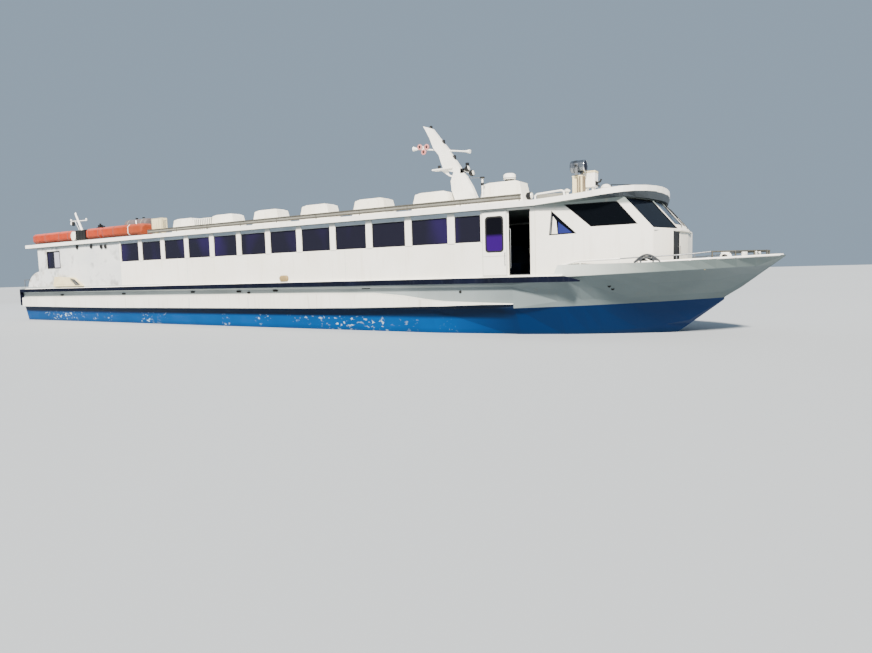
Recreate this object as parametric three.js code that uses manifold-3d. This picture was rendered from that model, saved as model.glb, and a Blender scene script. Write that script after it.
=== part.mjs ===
// Passenger ferry of about 35 m, afloat. Millimetres, X forward, Y to port, Z up.
// The origin is on the centreline at the waterline, amidships.
import * as THREE from 'three';
import { mergeVertices } from 'three/addons/utils/BufferGeometryUtils.js';
import Module from 'manifold-3d';

const wasm = await Module();
wasm.setup();

// Driving dimensions
const HALF_BEAM = 2600;
const STERN_X = -17450;
const STEM = { waterlineX: 14850, rise: 0.78 };
const DECK_Z = 1720;
const BULWARK = {
  aftX: 12150, topZ: 2025, riseX: 14500, tipX: 17600, tipRise: 110, thickness: 70, footing: 28,
};
const FIT_GAP = 0.3;
const WALL = 60;
const ROOF_UNDERSIDE_Z = 3680;
const CABIN = { aftX: -15500, frontX: 11500 };
const WINDOW = { firstX: -8283, pitch: 1563, width: 1311, sillZ: 2770, headZ: 3560, count: 12 };
const LAST_WINDOW_WIDTH = 880;
const DOOR = { aftX: 10690, frontX: 11350, sillZ: 1770, headZ: 3620 };
const GLASS = { inset: 22, thickness: 10 };

// Paints and materials
const PAINT = {
  hullBlue: { color: 0x0a63b4, roughness: 0.45, metalness: 0.0 },
  hullGrey: { color: 0xd9dcd6, roughness: 0.5, metalness: 0.0 },
  white: { color: 0xf0efe8, roughness: 0.45, metalness: 0.0 },
  navy: { color: 0x141c33, roughness: 0.7, metalness: 0.0 },
  darkGlass: { color: 0x12121f, roughness: 0.08, metalness: 0.0 },
  orange: { color: 0xe0592c, roughness: 0.8, metalness: 0.0 },
  steel: { color: 0x8c9094, roughness: 0.4, metalness: 0.8 },
  bronze: { color: 0x9a7440, roughness: 0.35, metalness: 0.9 },
  cream: { color: 0xe6dfc8, roughness: 0.5, metalness: 0.0 },
  seat: { color: 0x2f4f8a, roughness: 0.8, metalness: 0.0 },
  black: { color: 0x17181a, roughness: 0.5, metalness: 0.0 },
  engine: { color: 0x5d6a5f, roughness: 0.6, metalness: 0.3 },
};

const ferry = new THREE.Group();

function place(name, geometry, paint) {
  const mesh = new THREE.Mesh(geometry, new THREE.MeshStandardMaterial(PAINT[paint]));
  mesh.name = name;
  ferry.add(mesh);
  return mesh;
}

// Solids

function toSolid(geometry) {
  const bare = geometry.clone();
  bare.deleteAttribute('normal');
  bare.deleteAttribute('uv');
  const merged = mergeVertices(bare, 1e-3);
  return new wasm.Manifold(new wasm.Mesh({
    numProp: 3,
    vertProperties: new Float32Array(merged.attributes.position.array),
    triVerts: new Uint32Array(merged.index.array),
  }));
}

function toGeometry(solid) {
  const mesh = solid.getMesh();
  const geometry = new THREE.BufferGeometry();
  geometry.setAttribute('position', new THREE.BufferAttribute(mesh.vertProperties, 3));
  geometry.setIndex(new THREE.BufferAttribute(mesh.triVerts, 1));
  geometry.computeVertexNormals();
  return geometry;
}

function cut(geometry, cutters) {
  let solid = toSolid(geometry);
  for (const cutter of cutters) {
    solid = solid.subtract(toSolid(cutter));
  }
  return toGeometry(solid);
}

function join(geometries) {
  let solid = toSolid(geometries[0]);
  for (const geometry of geometries.slice(1)) {
    solid = solid.add(toSolid(geometry));
  }
  return toGeometry(solid);
}

function mirrored(geometry) {
  const copy = geometry.clone();
  copy.applyMatrix4(new THREE.Matrix4().makeScale(1, -1, 1));
  if (!copy.index) {
    copy.setIndex([...Array(copy.attributes.position.count).keys()]);
  }
  const index = copy.index.array;
  for (let i = 0; i < index.length; i += 3) {
    [index[i], index[i + 1]] = [index[i + 1], index[i]];
  }
  copy.computeVertexNormals();
  return copy;
}

function box(x0, x1, y0, y1, z0, z1) {
  const geometry = new THREE.BoxGeometry(x1 - x0, y1 - y0, z1 - z0);
  return geometry.translate((x0 + x1) / 2, (y0 + y1) / 2, (z0 + z1) / 2);
}

function flatShape(points) {
  return new THREE.Shape(points.map(([u, v]) => new THREE.Vector2(u, v)));
}

function extrude(shape, depth) {
  return new THREE.ExtrudeGeometry(shape, { depth, bevelEnabled: false, curveSegments: 8 });
}

// An outline in X and Z, thick from y0 to y1
function sidePrism(outline, y0, y1) {
  const shape = outline instanceof THREE.Shape ? outline : flatShape(outline);
  return extrude(shape, y1 - y0).rotateX(Math.PI / 2).translate(0, y1, 0);
}

// An outline in X and Y, thick from z0 to z1
function planPrism(outline, z0, z1) {
  const shape = outline instanceof THREE.Shape ? outline : flatShape(outline);
  return extrude(shape, z1 - z0).translate(0, 0, z0);
}

function rod(from, to, radius, sides = 12, endRadius = radius) {
  const start = new THREE.Vector3(...from);
  const along = new THREE.Vector3(...to).sub(start);
  const geometry = new THREE.CylinderGeometry(endRadius, radius, along.length(), sides);
  const turn = new THREE.Quaternion().setFromUnitVectors(
    new THREE.Vector3(0, 1, 0), along.clone().normalize());
  return geometry.applyQuaternion(turn).translate(...start.addScaledVector(along, 0.5).toArray());
}

// A closed skin through rings of like points, one ring a station, with flat ends
function loft(rings) {
  const count = rings[0].length;
  const positions = rings.flat(2);
  const index = [];
  for (let i = 0; i + 1 < rings.length; i += 1) {
    for (let j = 0; j < count; j += 1) {
      const k = (j + 1) % count;
      const [a, b, c, d] = [i * count + j, i * count + k, (i + 1) * count + k, (i + 1) * count + j];
      index.push(a, b, c, a, c, d);
    }
  }
  for (const [ring, forward] of [[0, true], [rings.length - 1, false]]) {
    const corners = rings[ring].map((point) => new THREE.Vector2(point[1], point[2]));
    const clockwise = THREE.ShapeUtils.isClockWise(corners);
    for (const [a, b, c] of THREE.ShapeUtils.triangulateShape(corners, [])) {
      const face = [a, b, c].map((corner) => corner + ring * count);
      index.push(...(forward === clockwise ? face : face.reverse()));
    }
  }
  const geometry = new THREE.BufferGeometry();
  geometry.setAttribute('position', new THREE.Float32BufferAttribute(positions, 3));
  geometry.setIndex(index);
  return outwards(geometry);
}

// Turns a closed skin so that its faces point out
function outwards(geometry) {
  const at = geometry.attributes.position;
  const index = geometry.index.array;
  const [a, b, c] = [new THREE.Vector3(), new THREE.Vector3(), new THREE.Vector3()];
  let volume = 0;
  for (let i = 0; i < index.length; i += 3) {
    a.fromBufferAttribute(at, index[i]);
    b.fromBufferAttribute(at, index[i + 1]);
    c.fromBufferAttribute(at, index[i + 2]);
    volume += a.dot(b.cross(c));
  }
  if (volume < 0) {
    for (let i = 0; i < index.length; i += 3) {
      [index[i], index[i + 1]] = [index[i + 1], index[i]];
    }
  }
  geometry.computeVertexNormals();
  return geometry;
}

// A turned skin with its seam shut and its faces out
function solidSkin(geometry) {
  geometry.deleteAttribute('normal');
  geometry.deleteAttribute('uv');
  return outwards(mergeVertices(geometry, 1e-3));
}

// Joins a starboard half ring to its port mirror, both from keel to centre top
function bothSides(x, half) {
  const port = half.map(([y, z]) => [x, y, z]);
  const starboard = half.map(([y, z]) => [x, -y, z]).reverse();
  return [...port, ...starboard];
}

const mix = (a, b, t) => a + (b - a) * t;
const clamp01 = (t) => Math.min(1, Math.max(0, t));

// Hull form

const stemX = (z) => STEM.waterlineX + z / STEM.rise;
const stemZ = (x) => (x - STEM.waterlineX) * STEM.rise;

// Half breadth at the deck edge and above, full until the bow rounds in to the stem
function edgeHalfBreadth(x, z) {
  const t = clamp01((x - 13000) / (stemX(z) - 13000));
  return Math.max(15, HALF_BEAM * (1 - t ** 2.6) ** 0.8);
}

// Where blue paint meets grey, a chine that rises towards the stem
const CHINE_TIP_X = 16150;
const paintLineZ = (x) => mix(760, 1010, clamp01((x - 8000) / (CHINE_TIP_X - 8000)) ** 1.5);

function paintLineHalf(x) {
  const t = clamp01((x - 9000) / (CHINE_TIP_X - 9000));
  return Math.max(12, 2490 * (1 - t ** 2.2) ** 0.9);
}

function bilge(x) {
  const t = clamp01((x - 7000) / 8500);
  const half = 2300 * (1 - t ** 2);
  const z = mix(-230, 420, t ** 2.5);
  return { half: Math.max(half, 0.3 * paintLineHalf(x)), z };
}

function keelZ(x) {
  const aft = mix(-380, -850, clamp01((x + 17450) / 12000));
  const fore = x > 13000 ? mix(-850, 0, clamp01((x - 13000) / 1850) ** 1.6) : -850;
  return x > STEM.waterlineX ? stemZ(x) : Math.max(aft, fore);
}

const AFT_STATIONS = [STERN_X, -11000, -5450, 2000, 8000, 10750, 12000];
const BOW_STATIONS = [BULWARK.aftX, 12650, 13000, 13900, 14600, 15200, 15700, 16060];
const TIP_STATIONS = [16500, 16900, 17250, 17440, 17540];

function hullLower() {
  const rings = [...AFT_STATIONS, ...BOW_STATIONS].map((x) => {
    const keel = keelZ(x);
    const top = paintLineZ(x);
    const turn = bilge(x);
    const keelHalf = x > 13500 ? 10 : 70;
    const bilgeZ = Math.max(turn.z, mix(keel, top, 0.15));
    return bothSides(x, [[keelHalf, keel], [turn.half, bilgeZ], [paintLineHalf(x), top]]);
  });
  return loft(rings);
}

// The bulwark top, level and then rising to the stem head
function bulwarkTopZ(x) {
  const t = clamp01((x - BULWARK.riseX) / (BULWARK.tipX - BULWARK.riseX));
  return BULWARK.topZ + BULWARK.tipRise * t ** 1.3;
}

// Topsides with the bow bulwark in one, up to the deck aft and to the bulwark top forward
function topsideHalf(x) {
  const bowed = clamp01((x - 10750) / 1250);
  const top = x < BULWARK.aftX ? DECK_Z : bulwarkTopZ(x);
  const lowZ = x > 16060 ? stemZ(x) + 5 : paintLineZ(x) + FIT_GAP;
  const low = x > 16060 ? 12 : paintLineHalf(x);
  const run = Math.min(top - 80, mix(1500, 1680, bowed) + Math.max(0, x - 12000) * 0.035);
  const knuckleZ = x > 17000 ? Math.max(run, mix(lowZ, top, 0.5)) : run;
  const knuckle = edgeHalfBreadth(x, knuckleZ);
  const rise = knuckleZ - lowZ;
  const side = [
    [mix(2500, mix(low, knuckle, 0.12), bowed), mix(810, lowZ + rise * 0.2, bowed)],
    [mix(2500, mix(low, knuckle, 0.55), bowed), mix(1440, lowZ + rise * 0.65, bowed)],
  ];
  return [[low, lowZ], ...side, [knuckle, knuckleZ], [edgeHalfBreadth(x, top), top]];
}

// Half breadth of the topsides at a station and a height
function topsideBreadth(x, z) {
  const half = topsideHalf(x);
  const i = half.findIndex((point) => point[1] > z);
  const [a, b] = [half[i - 1], half[i]];
  return mix(a[0], b[0], (z - a[1]) / (b[1] - a[1]));
}

// The foredeck, level inside the wheelhouse and rising from its front to the stem
function foredeckZ(x) {
  return DECK_Z + Math.max(0, x - 15200) * 0.115;
}

function foredeckWell() {
  const stations = [12650, 13000, 13900, 14600, 15200, 15700, 16060, 16500, 16900, 17200];
  const ring = (x, at) => {
    const floor = foredeckZ(at);
    const top = bulwarkTopZ(at);
    return bothSides(x, [
      [topsideBreadth(at, floor) - BULWARK.footing, floor],
      [edgeHalfBreadth(at, top) - BULWARK.thickness, top + 1]]);
  };
  return loft([ring(12000, 12650), ...stations.map((x) => ring(x, x))]);
}

function hullTopsides() {
  const stations = [...AFT_STATIONS, ...BOW_STATIONS, ...TIP_STATIONS];
  const whole = loft(stations.map((x) => bothSides(x, topsideHalf(x))));
  return cut(whole, [foredeckWell(), ...engineRoomCutters()]);
}

// Engine room, a well in the solid hull under the after cabin

const ENGINE_ROOM = { aftX: -13600, frontX: -10400, halfWidth: 1650, floorZ: -100, headZ: 1560 };
const HATCH = { aftX: -12750, frontX: -11250, halfWidth: 600, thickness: 30, ledge: 60, gap: 8 };

function engineRoomCutters() {
  const room = ENGINE_ROOM;
  const way = HATCH;
  return [
    box(room.aftX, room.frontX, -room.halfWidth, room.halfWidth, room.floorZ, room.headZ),
    box(way.aftX + way.ledge, way.frontX - way.ledge, -way.halfWidth + way.ledge, way.halfWidth - way.ledge,
      room.headZ - 10, DECK_Z + 10),
    box(way.aftX, way.frontX, -way.halfWidth, way.halfWidth, DECK_Z - way.thickness - way.gap, DECK_Z + 10)];
}

function engineHatch() {
  const { aftX, frontX: fore, halfWidth, thickness, gap } = HATCH;
  return box(aftX + gap, fore - gap, -halfWidth + gap, halfWidth - gap, DECK_Z - thickness, DECK_Z);
}

const ENGINE = { length: 1800, width: 850, height: 1100, offsetY: 850, z: 0 };

function engine(side) {
  const middle = (ENGINE_ROOM.aftX + ENGINE_ROOM.frontX) / 2;
  const y = side * ENGINE.offsetY;
  return box(middle - ENGINE.length / 2, middle + ENGINE.length / 2,
    y - ENGINE.width / 2, y + ENGINE.width / 2,
    ENGINE_ROOM.floorZ + FIT_GAP, ENGINE_ROOM.floorZ + ENGINE.height);
}

// Shafts, propellers and rudders

const SHAFT = { y: 900, radius: 38, inboard: [-12600, -480], outboard: [-16350, -900] };
const PROP = { x: -16150, hubRadius: 80, hubLength: 220, bladeRadius: 400, blades: 4 };
const RUDDER = { x: -16900, topZ: -470, bottomZ: -1330, fore: 180, aft: 420, thickness: 55 };

const shaftSlope = (SHAFT.outboard[1] - SHAFT.inboard[1]) / (SHAFT.outboard[0] - SHAFT.inboard[0]);
const shaftZ = (x) => SHAFT.inboard[1] + (x - SHAFT.inboard[0]) * shaftSlope;
const shaftPoint = (x, side) => [x, side * SHAFT.y, shaftZ(x)];

function shaftBore(side) {
  return rod(shaftPoint(-12200, side), shaftPoint(-16500, side), 47, 16);
}

function propeller(side) {
  const hub = rod(shaftPoint(PROP.x - PROP.hubLength / 2, side),
    shaftPoint(PROP.x + PROP.hubLength / 2, side), PROP.hubRadius, 16);
  const shaft = rod(shaftPoint(SHAFT.inboard[0] - 100, side),
    shaftPoint(PROP.x - 150, side), SHAFT.radius, 12);
  const tilt = Math.atan(shaftSlope);
  const blades = [];
  for (let i = 0; i < PROP.blades; i += 1) {
    const blade = new THREE.SphereGeometry(1, 12, 8);
    blade.scale(26, 150, 175);
    blade.rotateZ(side * 0.75);
    blade.translate(0, 0, PROP.bladeRadius - 175);
    blade.rotateX((i * 2 * Math.PI) / PROP.blades);
    blade.rotateY(-tilt);
    blade.translate(...shaftPoint(PROP.x, side));
    blades.push(blade);
  }
  return join([hub, shaft, ...blades]);
}

function shaftStrut(side) {
  const x = -15750;
  const barrel = rod(shaftPoint(x - 160, side), shaftPoint(x + 160, side), 95, 16);
  const centreZ = shaftZ(x);
  const legs = [];
  for (const lean of [-420, 420]) {
    const foot = [x, side * SHAFT.y + lean, centreZ + 620];
    legs.push(rod(shaftPoint(x, side), foot, 42, 8));
  }
  const body = join([barrel, ...legs]);
  return cut(body, [shaftBore(side), aboveHullBottom()]);
}

// The space above the hull bottom aft, for what ends just under it
function aboveHullBottom() {
  return hullLower().translate(0, 0, -FIT_GAP);
}

function rudder(side) {
  const y = side * SHAFT.y;
  const shape = flatShape([
    [RUDDER.fore, 0], [RUDDER.fore * 0.5, RUDDER.thickness / 2], [-RUDDER.aft, 6],
    [-RUDDER.aft, -6], [RUDDER.fore * 0.5, -RUDDER.thickness / 2]]);
  const blade = planPrism(shape, RUDDER.bottomZ, RUDDER.topZ).translate(RUDDER.x, y, 0);
  const stock = rod([RUDDER.x, y, RUDDER.topZ - 200], [RUDDER.x, y, -120], 36, 12);
  return join([blade, stock]);
}

function rudderBore(side) {
  const y = side * SHAFT.y;
  return rod([RUDDER.x, y, -700], [RUDDER.x, y, -100], 46, 16);
}

function keelSkeg() {
  return sidePrism([[-12800, -300], [12800, -300], [12800, -870], [12200, -1010], [-11800, -1010]], -55, 55);
}

// Sponsons and rub rail

const SPONSON_STATIONS = [
  // x, outer half breadth, top, bottom
  [STERN_X + 20, 2600, 1130, 770],
  [-17250, 2690, 1205, 715],
  [-16900, 2720, 1225, 708],
  [-9500, 2720, 1250, 685],
  [-4200, 2720, 1270, 711],
  [2500, 2720, 1302, 742],
  [5700, 2720, 1290, 790],
  [6900, 2720, 1200, 824],
  [7700, 2720, 1090, 845],
  [8400, 2715, 1022, 862],
  [9790, 2655, 978, 915],
  [10760, 2560, 955, 925],
];

function sponson(side) {
  const inner = 2500 + 2;
  const rings = SPONSON_STATIONS.map(([x, outer, top, bottom]) => {
    const low = mix(bottom, top, 0.05);
    const high = mix(bottom, top, 0.92);
    return [[x, side * inner, bottom], [x, side * outer, low],
      [x, side * outer, high], [x, side * inner, top]];
  });
  return loft(rings);
}

const RAIL = { depth: 120, height: 160, bottomZ: 1518, tipX: 12780, rise: 0.0035, corner: 180 };
const CORNER_FENDER = { inY: 2300, outY: 2690, z: [775, 1500] };

function rubRail() {
  const inner = HALF_BEAM + FIT_GAP;
  const outer = HALF_BEAM + RAIL.depth;
  const aftInner = STERN_X - FIT_GAP;
  const aftOuter = STERN_X - RAIL.depth;
  const cheek = RAIL.corner * 0.3;
  const half = [[RAIL.tipX, -inner], [RAIL.tipX, -outer], [aftOuter + RAIL.corner, -outer],
    [aftOuter + cheek, -outer + cheek], [aftOuter, -outer + RAIL.corner]];
  const port = half.map(([x, y]) => [x, -y]).reverse();
  const outline = [...half, ...port, [aftInner, inner], [aftInner, -inner]];
  const rise = new THREE.Matrix4().set(1, 0, 0, 0, 0, 1, 0, 0, RAIL.rise, 0, 1, RAIL.bottomZ, 0, 0, 0, 1);
  const rail = planPrism(outline, 0, RAIL.height).applyMatrix4(rise);
  const post = planPrism([[aftInner, -CORNER_FENDER.outY], [aftInner, -CORNER_FENDER.inY],
    [aftOuter, -CORNER_FENDER.inY], [aftOuter, -outer + RAIL.corner], [aftOuter + cheek, -outer + cheek]],
  ...CORNER_FENDER.z);
  const slope = [[12300, 1735], [RAIL.tipX + 20, 1595], [RAIL.tipX + 20, 1850], [12300, 1850]];
  return cut(join([rail, post, mirrored(post)]), [sidePrism(slope, -outer - 20, outer + 20)]);
}

// Passenger cabin

function windowSpans() {
  const spans = [];
  for (let i = 0; i < WINDOW.count; i += 1) {
    const start = WINDOW.firstX + i * WINDOW.pitch;
    const width = i === WINDOW.count - 1 ? LAST_WINDOW_WIDTH : WINDOW.width;
    spans.push([start, start + width]);
  }
  return spans;
}

// A cutter through the starboard wall for an opening given by its X and Z spans
function wallOpening([x0, x1], [z0, z1]) {
  return box(x0, x1, -HALF_BEAM - 1, -HALF_BEAM + WALL + 1, z0, z1);
}

const GLAZING_RAIL = { z: [3400, 3440] };
const STERN_WINDOW = { x: [-14640, -13420], z: [2610, 3470] };

function cabinSide(side) {
  const shape = new THREE.Shape();
  shape.moveTo(CABIN.frontX, DECK_Z + FIT_GAP);
  shape.lineTo(CABIN.frontX, ROOF_UNDERSIDE_Z - FIT_GAP);
  shape.lineTo(CABIN.aftX, ROOF_UNDERSIDE_Z - FIT_GAP);
  shape.lineTo(CABIN.aftX, 2500);
  shape.quadraticCurveTo(-16450, 2400, -16700, DECK_Z + FIT_GAP);
  const wall = sidePrism(shape, -HALF_BEAM, -HALF_BEAM + WALL);
  const openings = windowSpans().map((span) => wallOpening(span, [WINDOW.sillZ, WINDOW.headZ]));
  openings.push(wallOpening(STERN_WINDOW.x, STERN_WINDOW.z));
  openings.push(wallOpening([DOOR.aftX, DOOR.frontX], [DOOR.sillZ, DOOR.headZ]));
  const rebates = [
    box(WINDOW.firstX - 60, DOOR.aftX - 700, -HALF_BEAM + GLASS.inset, -HALF_BEAM + WALL + 1,
      WINDOW.sillZ - 50, WINDOW.headZ + 50),
    box(STERN_WINDOW.x[0] - 50, STERN_WINDOW.x[1] + 50, -HALF_BEAM + GLASS.inset,
      -HALF_BEAM + WALL + 1, STERN_WINDOW.z[0] - 50, STERN_WINDOW.z[1] + 50),
    box(STERN_WINDOW.x[1], WINDOW.firstX, -HALF_BEAM + GLASS.inset, -HALF_BEAM + WALL + 1,
      GLAZING_RAIL.z[0] - 5, GLAZING_RAIL.z[1] + 5),
  ];
  const carried = join([wall, doorTrack(), ventCasing()]);
  const geometry = cut(carried, [...openings, ...rebates]);
  return side < 0 ? geometry : mirrored(geometry);
}

// The panes of one side on the rail that carries them, behind the wall's outer skin
function cabinGlass(side) {
  const y0 = -HALF_BEAM + GLASS.inset + FIT_GAP;
  const y1 = y0 + GLASS.thickness;
  const long = box(WINDOW.firstX - 50, DOOR.aftX - 720, y0, y1, WINDOW.sillZ - 40, WINDOW.headZ + 40);
  const stern = box(STERN_WINDOW.x[0] - 40, STERN_WINDOW.x[1] + 40, y0, y1,
    STERN_WINDOW.z[0] - 40, STERN_WINDOW.z[1] + 40);
  const rail = box(STERN_WINDOW.x[1], WINDOW.firstX, y0, y1, ...GLAZING_RAIL.z);
  const geometry = join([long, stern, rail]);
  return side < 0 ? geometry : mirrored(geometry);
}

const AFT_DOOR = { y: [-400, 400], z: [DECK_Z + 50, 3560] };

function aftBulkhead() {
  const half = HALF_BEAM - WALL - FIT_GAP;
  const panel = box(CABIN.aftX, CABIN.aftX + WALL, -half, half, DECK_Z + FIT_GAP, ROOF_UNDERSIDE_Z - FIT_GAP);
  return cut(panel, [box(CABIN.aftX - 50, CABIN.aftX + 150, ...AFT_DOOR.y, ...AFT_DOOR.z)]);
}

function aftDoor() {
  const clearance = 8;
  return box(CABIN.aftX, CABIN.aftX + 40, AFT_DOOR.y[0] + clearance, AFT_DOOR.y[1] - clearance,
    AFT_DOOR.z[0] + clearance, AFT_DOOR.z[1] - clearance);
}

// Side door on its overhead track, slid aft to open

const LEAF = { width: 800, thickness: 36, standOff: 12, openX: 9850, closedX: 10620, z: [1765, 3640] };

function sideDoor(side, aftX) {
  const y0 = -HALF_BEAM - LEAF.standOff - LEAF.thickness;
  const leaf = box(aftX, aftX + LEAF.width, y0, y0 + LEAF.thickness, ...LEAF.z);
  const pane = new THREE.Shape();
  const [w0, w1, z0, z1, r] = [aftX + 100, aftX + LEAF.width - 100, 2440, 3490, 120];
  pane.moveTo(w0 + r, z0);
  pane.lineTo(w1 - r, z0);
  pane.quadraticCurveTo(w1, z0, w1, z0 + r);
  pane.lineTo(w1, z1 - r);
  pane.quadraticCurveTo(w1, z1, w1 - r, z1);
  pane.lineTo(w0 + r, z1);
  pane.quadraticCurveTo(w0, z1, w0, z1 - r);
  pane.lineTo(w0, z0 + r);
  pane.quadraticCurveTo(w0, z0, w0 + r, z0);
  const geometry = cut(leaf, [sidePrism(pane, y0 - 5, y0 + 22)]);
  return side < 0 ? geometry : mirrored(geometry);
}

function sideDoorPane(side, aftX) {
  const y0 = -HALF_BEAM - LEAF.standOff - LEAF.thickness;
  const gap = 1;
  const [x0, x1] = [aftX + 135, aftX + LEAF.width - 135];
  const geometry = box(x0, x1, y0 + 8, y0 + 22 - FIT_GAP, 2475 + gap, 3455 - gap);
  return side < 0 ? geometry : mirrored(geometry);
}

function doorTrack() {
  return box(9800, 11480, -HALF_BEAM - 70, -HALF_BEAM + 10, 3650, 3676);
}

// Wheelhouse

// x, half breadth of the corners from the side wall round to the centreline, below and at the screen sill
const FRONT_PLAN = [[14630, 2200], [14965, 1500], [15090, 0]];
const SCREEN_PLAN = [[14630, 2200], [15030, 870], [15090, 0]];
const SCREEN = { sillZ: 2900, headZ: 3775, headShiftX: -754 };
const SOFFIT_LEVEL_X = 13800;
const SIDE_START = [CABIN.frontX + 9, HALF_BEAM];

const taper = Math.atan2(SIDE_START[1] - FRONT_PLAN[0][1], FRONT_PLAN[0][0] - SIDE_START[0]);
const sideLength = Math.hypot(SIDE_START[1] - FRONT_PLAN[0][1], FRONT_PLAN[0][0] - SIDE_START[0]);
const headBack = -SCREEN.headShiftX / Math.cos(taper);

// The roof underside over the wheelhouse, rising forward and then level
function soffitZ(x) {
  const t = clamp01((x - CABIN.frontX) / (SOFFIT_LEVEL_X - CABIN.frontX));
  return mix(ROOF_UNDERSIDE_Z, SCREEN.headZ + FIT_GAP, t);
}

function wheelhouseSide(side) {
  const foot = DECK_Z + FIT_GAP;
  const shape = flatShape([[0, foot], [sideLength - FIT_GAP, foot], [sideLength - FIT_GAP, SCREEN.sillZ],
    [sideLength - headBack, SCREEN.headZ],
    [(SOFFIT_LEVEL_X + 20 - SIDE_START[0]) / Math.cos(taper), SCREEN.headZ],
    [0, soffitZ(SIDE_START[0]) - 3 * FIT_GAP]]);
  const wall = extrude(shape, WALL).rotateX(Math.PI / 2).translate(0, WALL, 0);
  const openings = [TRIANGLE_LIGHT, SIDE_LIGHT].map((corners) => (
    extrude(flatShape(corners), WALL * 2).rotateX(Math.PI / 2).translate(0, WALL * 1.5, 0)));
  const rebates = [
    extrude(flatShape(grown(SIDE_GLASS, 6)), WALL).rotateX(Math.PI / 2).translate(0, WALL + GLASS.inset, 0)];
  const cutWall = cut(wall, [...openings, ...rebates]);
  return swing(cutWall, side);
}

const TRIANGLE_LIGHT = [[384, 2850], [1150, 2870], [455, 3530]];
const SIDE_LIGHT = [[1533, 3030], [2750, 3040], [2222, 3668], [809, 3668]];
const SIDE_GLASS = [
  [345, 2815], [1190, 2830], [1510, 2990], [2810, 2998], [2255, 3705], [760, 3695], [375, 3600],
];

// Moves each corner of an outline out from its middle by about the given amount
function grown(corners, amount) {
  const middle = corners.reduce(([a, b], [u, v]) => [a + u / corners.length, b + v / corners.length], [0, 0]);
  return corners.map(([u, v]) => {
    const away = Math.hypot(u - middle[0], v - middle[1]);
    const factor = (away + amount) / away;
    return [middle[0] + (u - middle[0]) * factor, middle[1] + (v - middle[1]) * factor];
  });
}

// From the wall's own plane to its tapered place on one side of the boat
function swing(geometry, side) {
  const placed = geometry.rotateZ(taper).translate(SIDE_START[0], -SIDE_START[1], 0);
  return side < 0 ? placed : mirrored(placed);
}

function wheelhouseSideGlass(side) {
  const pane = extrude(flatShape(SIDE_GLASS), GLASS.thickness).rotateX(Math.PI / 2);
  return swing(pane.translate(0, GLASS.inset + FIT_GAP + GLASS.thickness, 0), side);
}

// The space that a side wall takes, with a fit gap, for what meets it at the corner
function sideWallSpace(side) {
  const gap = 2 * FIT_GAP;
  const footZ = DECK_Z - 50;
  const shape = flatShape([[-50, footZ], [sideLength + gap, footZ], [sideLength + gap, SCREEN.sillZ],
    [sideLength - headBack + gap, SCREEN.headZ], [sideLength - headBack + gap, SCREEN.headZ + 50],
    [-50, SCREEN.headZ + 50]]);
  return swing(extrude(shape, WALL + 1).rotateX(Math.PI / 2).translate(0, WALL + gap, 0), side);
}

function mirroredPlan(points) {
  const starboard = points.map(([x, y]) => [x, -y]);
  return [...starboard, ...points.slice(0, -1).reverse()];
}

function insetPlan(points, inset) {
  const line = points.map(([x, y]) => new THREE.Vector2(x, y));
  return line.map((point, i) => {
    const before = line[Math.max(0, i - 1)];
    const after = line[Math.min(line.length - 1, i + 1)];
    const n1 = normalOf(before.equals(point) ? point : before, before.equals(point) ? after : point);
    const n2 = normalOf(after.equals(point) ? before : point, after.equals(point) ? point : after);
    const mitre = n1.clone().add(n2).normalize();
    return [point.x + (mitre.x * inset) / mitre.dot(n1), point.y + (mitre.y * inset) / mitre.dot(n1)];
  });
}

function normalOf(a, b) {
  const along = b.clone().sub(a).normalize();
  return new THREE.Vector2(-along.y, along.x);
}

const FOREDECK_DOOR = { y: [-1450, -840], z: [1820, 2848] };
const SILL_SHELF = { bottomZ: 2860, reach: 200, lip: 35 };

function wheelhouseFrontLower() {
  const clear = (plan) => mirroredPlan(plan).map(([x, y]) => [x + FIT_GAP, y]);
  const outer = clear(FRONT_PLAN);
  const strip = (plan, outset, inset, z0, z1) => (
    planPrism([...insetPlan(plan, -outset), ...insetPlan(plan, inset).reverse()], z0, z1));
  const topZ = SCREEN.sillZ - FIT_GAP;
  const band = strip(outer, 0, WALL, DECK_Z + FIT_GAP, SILL_SHELF.bottomZ + 5);
  const shelf = strip(outer, 0, SILL_SHELF.reach, SILL_SHELF.bottomZ, topZ);
  const screen = clear(SCREEN_PLAN);
  const ledge = strip(screen, SILL_SHELF.lip, WALL, SILL_SHELF.bottomZ, topZ);
  const [y0, y1] = FOREDECK_DOOR.y;
  return cut(join([band, shelf, ledge]), [box(14800, 15400, y0, y1, ...FOREDECK_DOOR.z),
    sideWallSpace(-1), sideWallSpace(1)]);
}

function frontX(y) {
  return mix(FRONT_PLAN[2][0], FRONT_PLAN[1][0], Math.abs(y) / FRONT_PLAN[1][1]);
}

function foredeckDoor() {
  const clearance = 8;
  const [y0, y1] = [FOREDECK_DOOR.y[0] + clearance, FOREDECK_DOOR.y[1] - clearance];
  const back = 40;
  const outline = [[frontX(y0), y0], [frontX(y1), y1], [frontX(y1) - back, y1], [frontX(y0) - back, y0]];
  return planPrism(outline, FOREDECK_DOOR.z[0] + clearance, FOREDECK_DOOR.z[1] - clearance);
}

// The screen plan at its head, shifted aft and spread to stay on the side wall planes
function screenHead(points) {
  const [cornerX, cornerY] = SCREEN_PLAN[0];
  const along = (cornerX + SCREEN.headShiftX - SIDE_START[0]) / (cornerX - SIDE_START[0]);
  const spread = mix(SIDE_START[1], cornerY, along) / cornerY;
  return points.map(([x, y]) => [cornerX + (x - cornerX) * spread + SCREEN.headShiftX, y * spread]);
}

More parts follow.
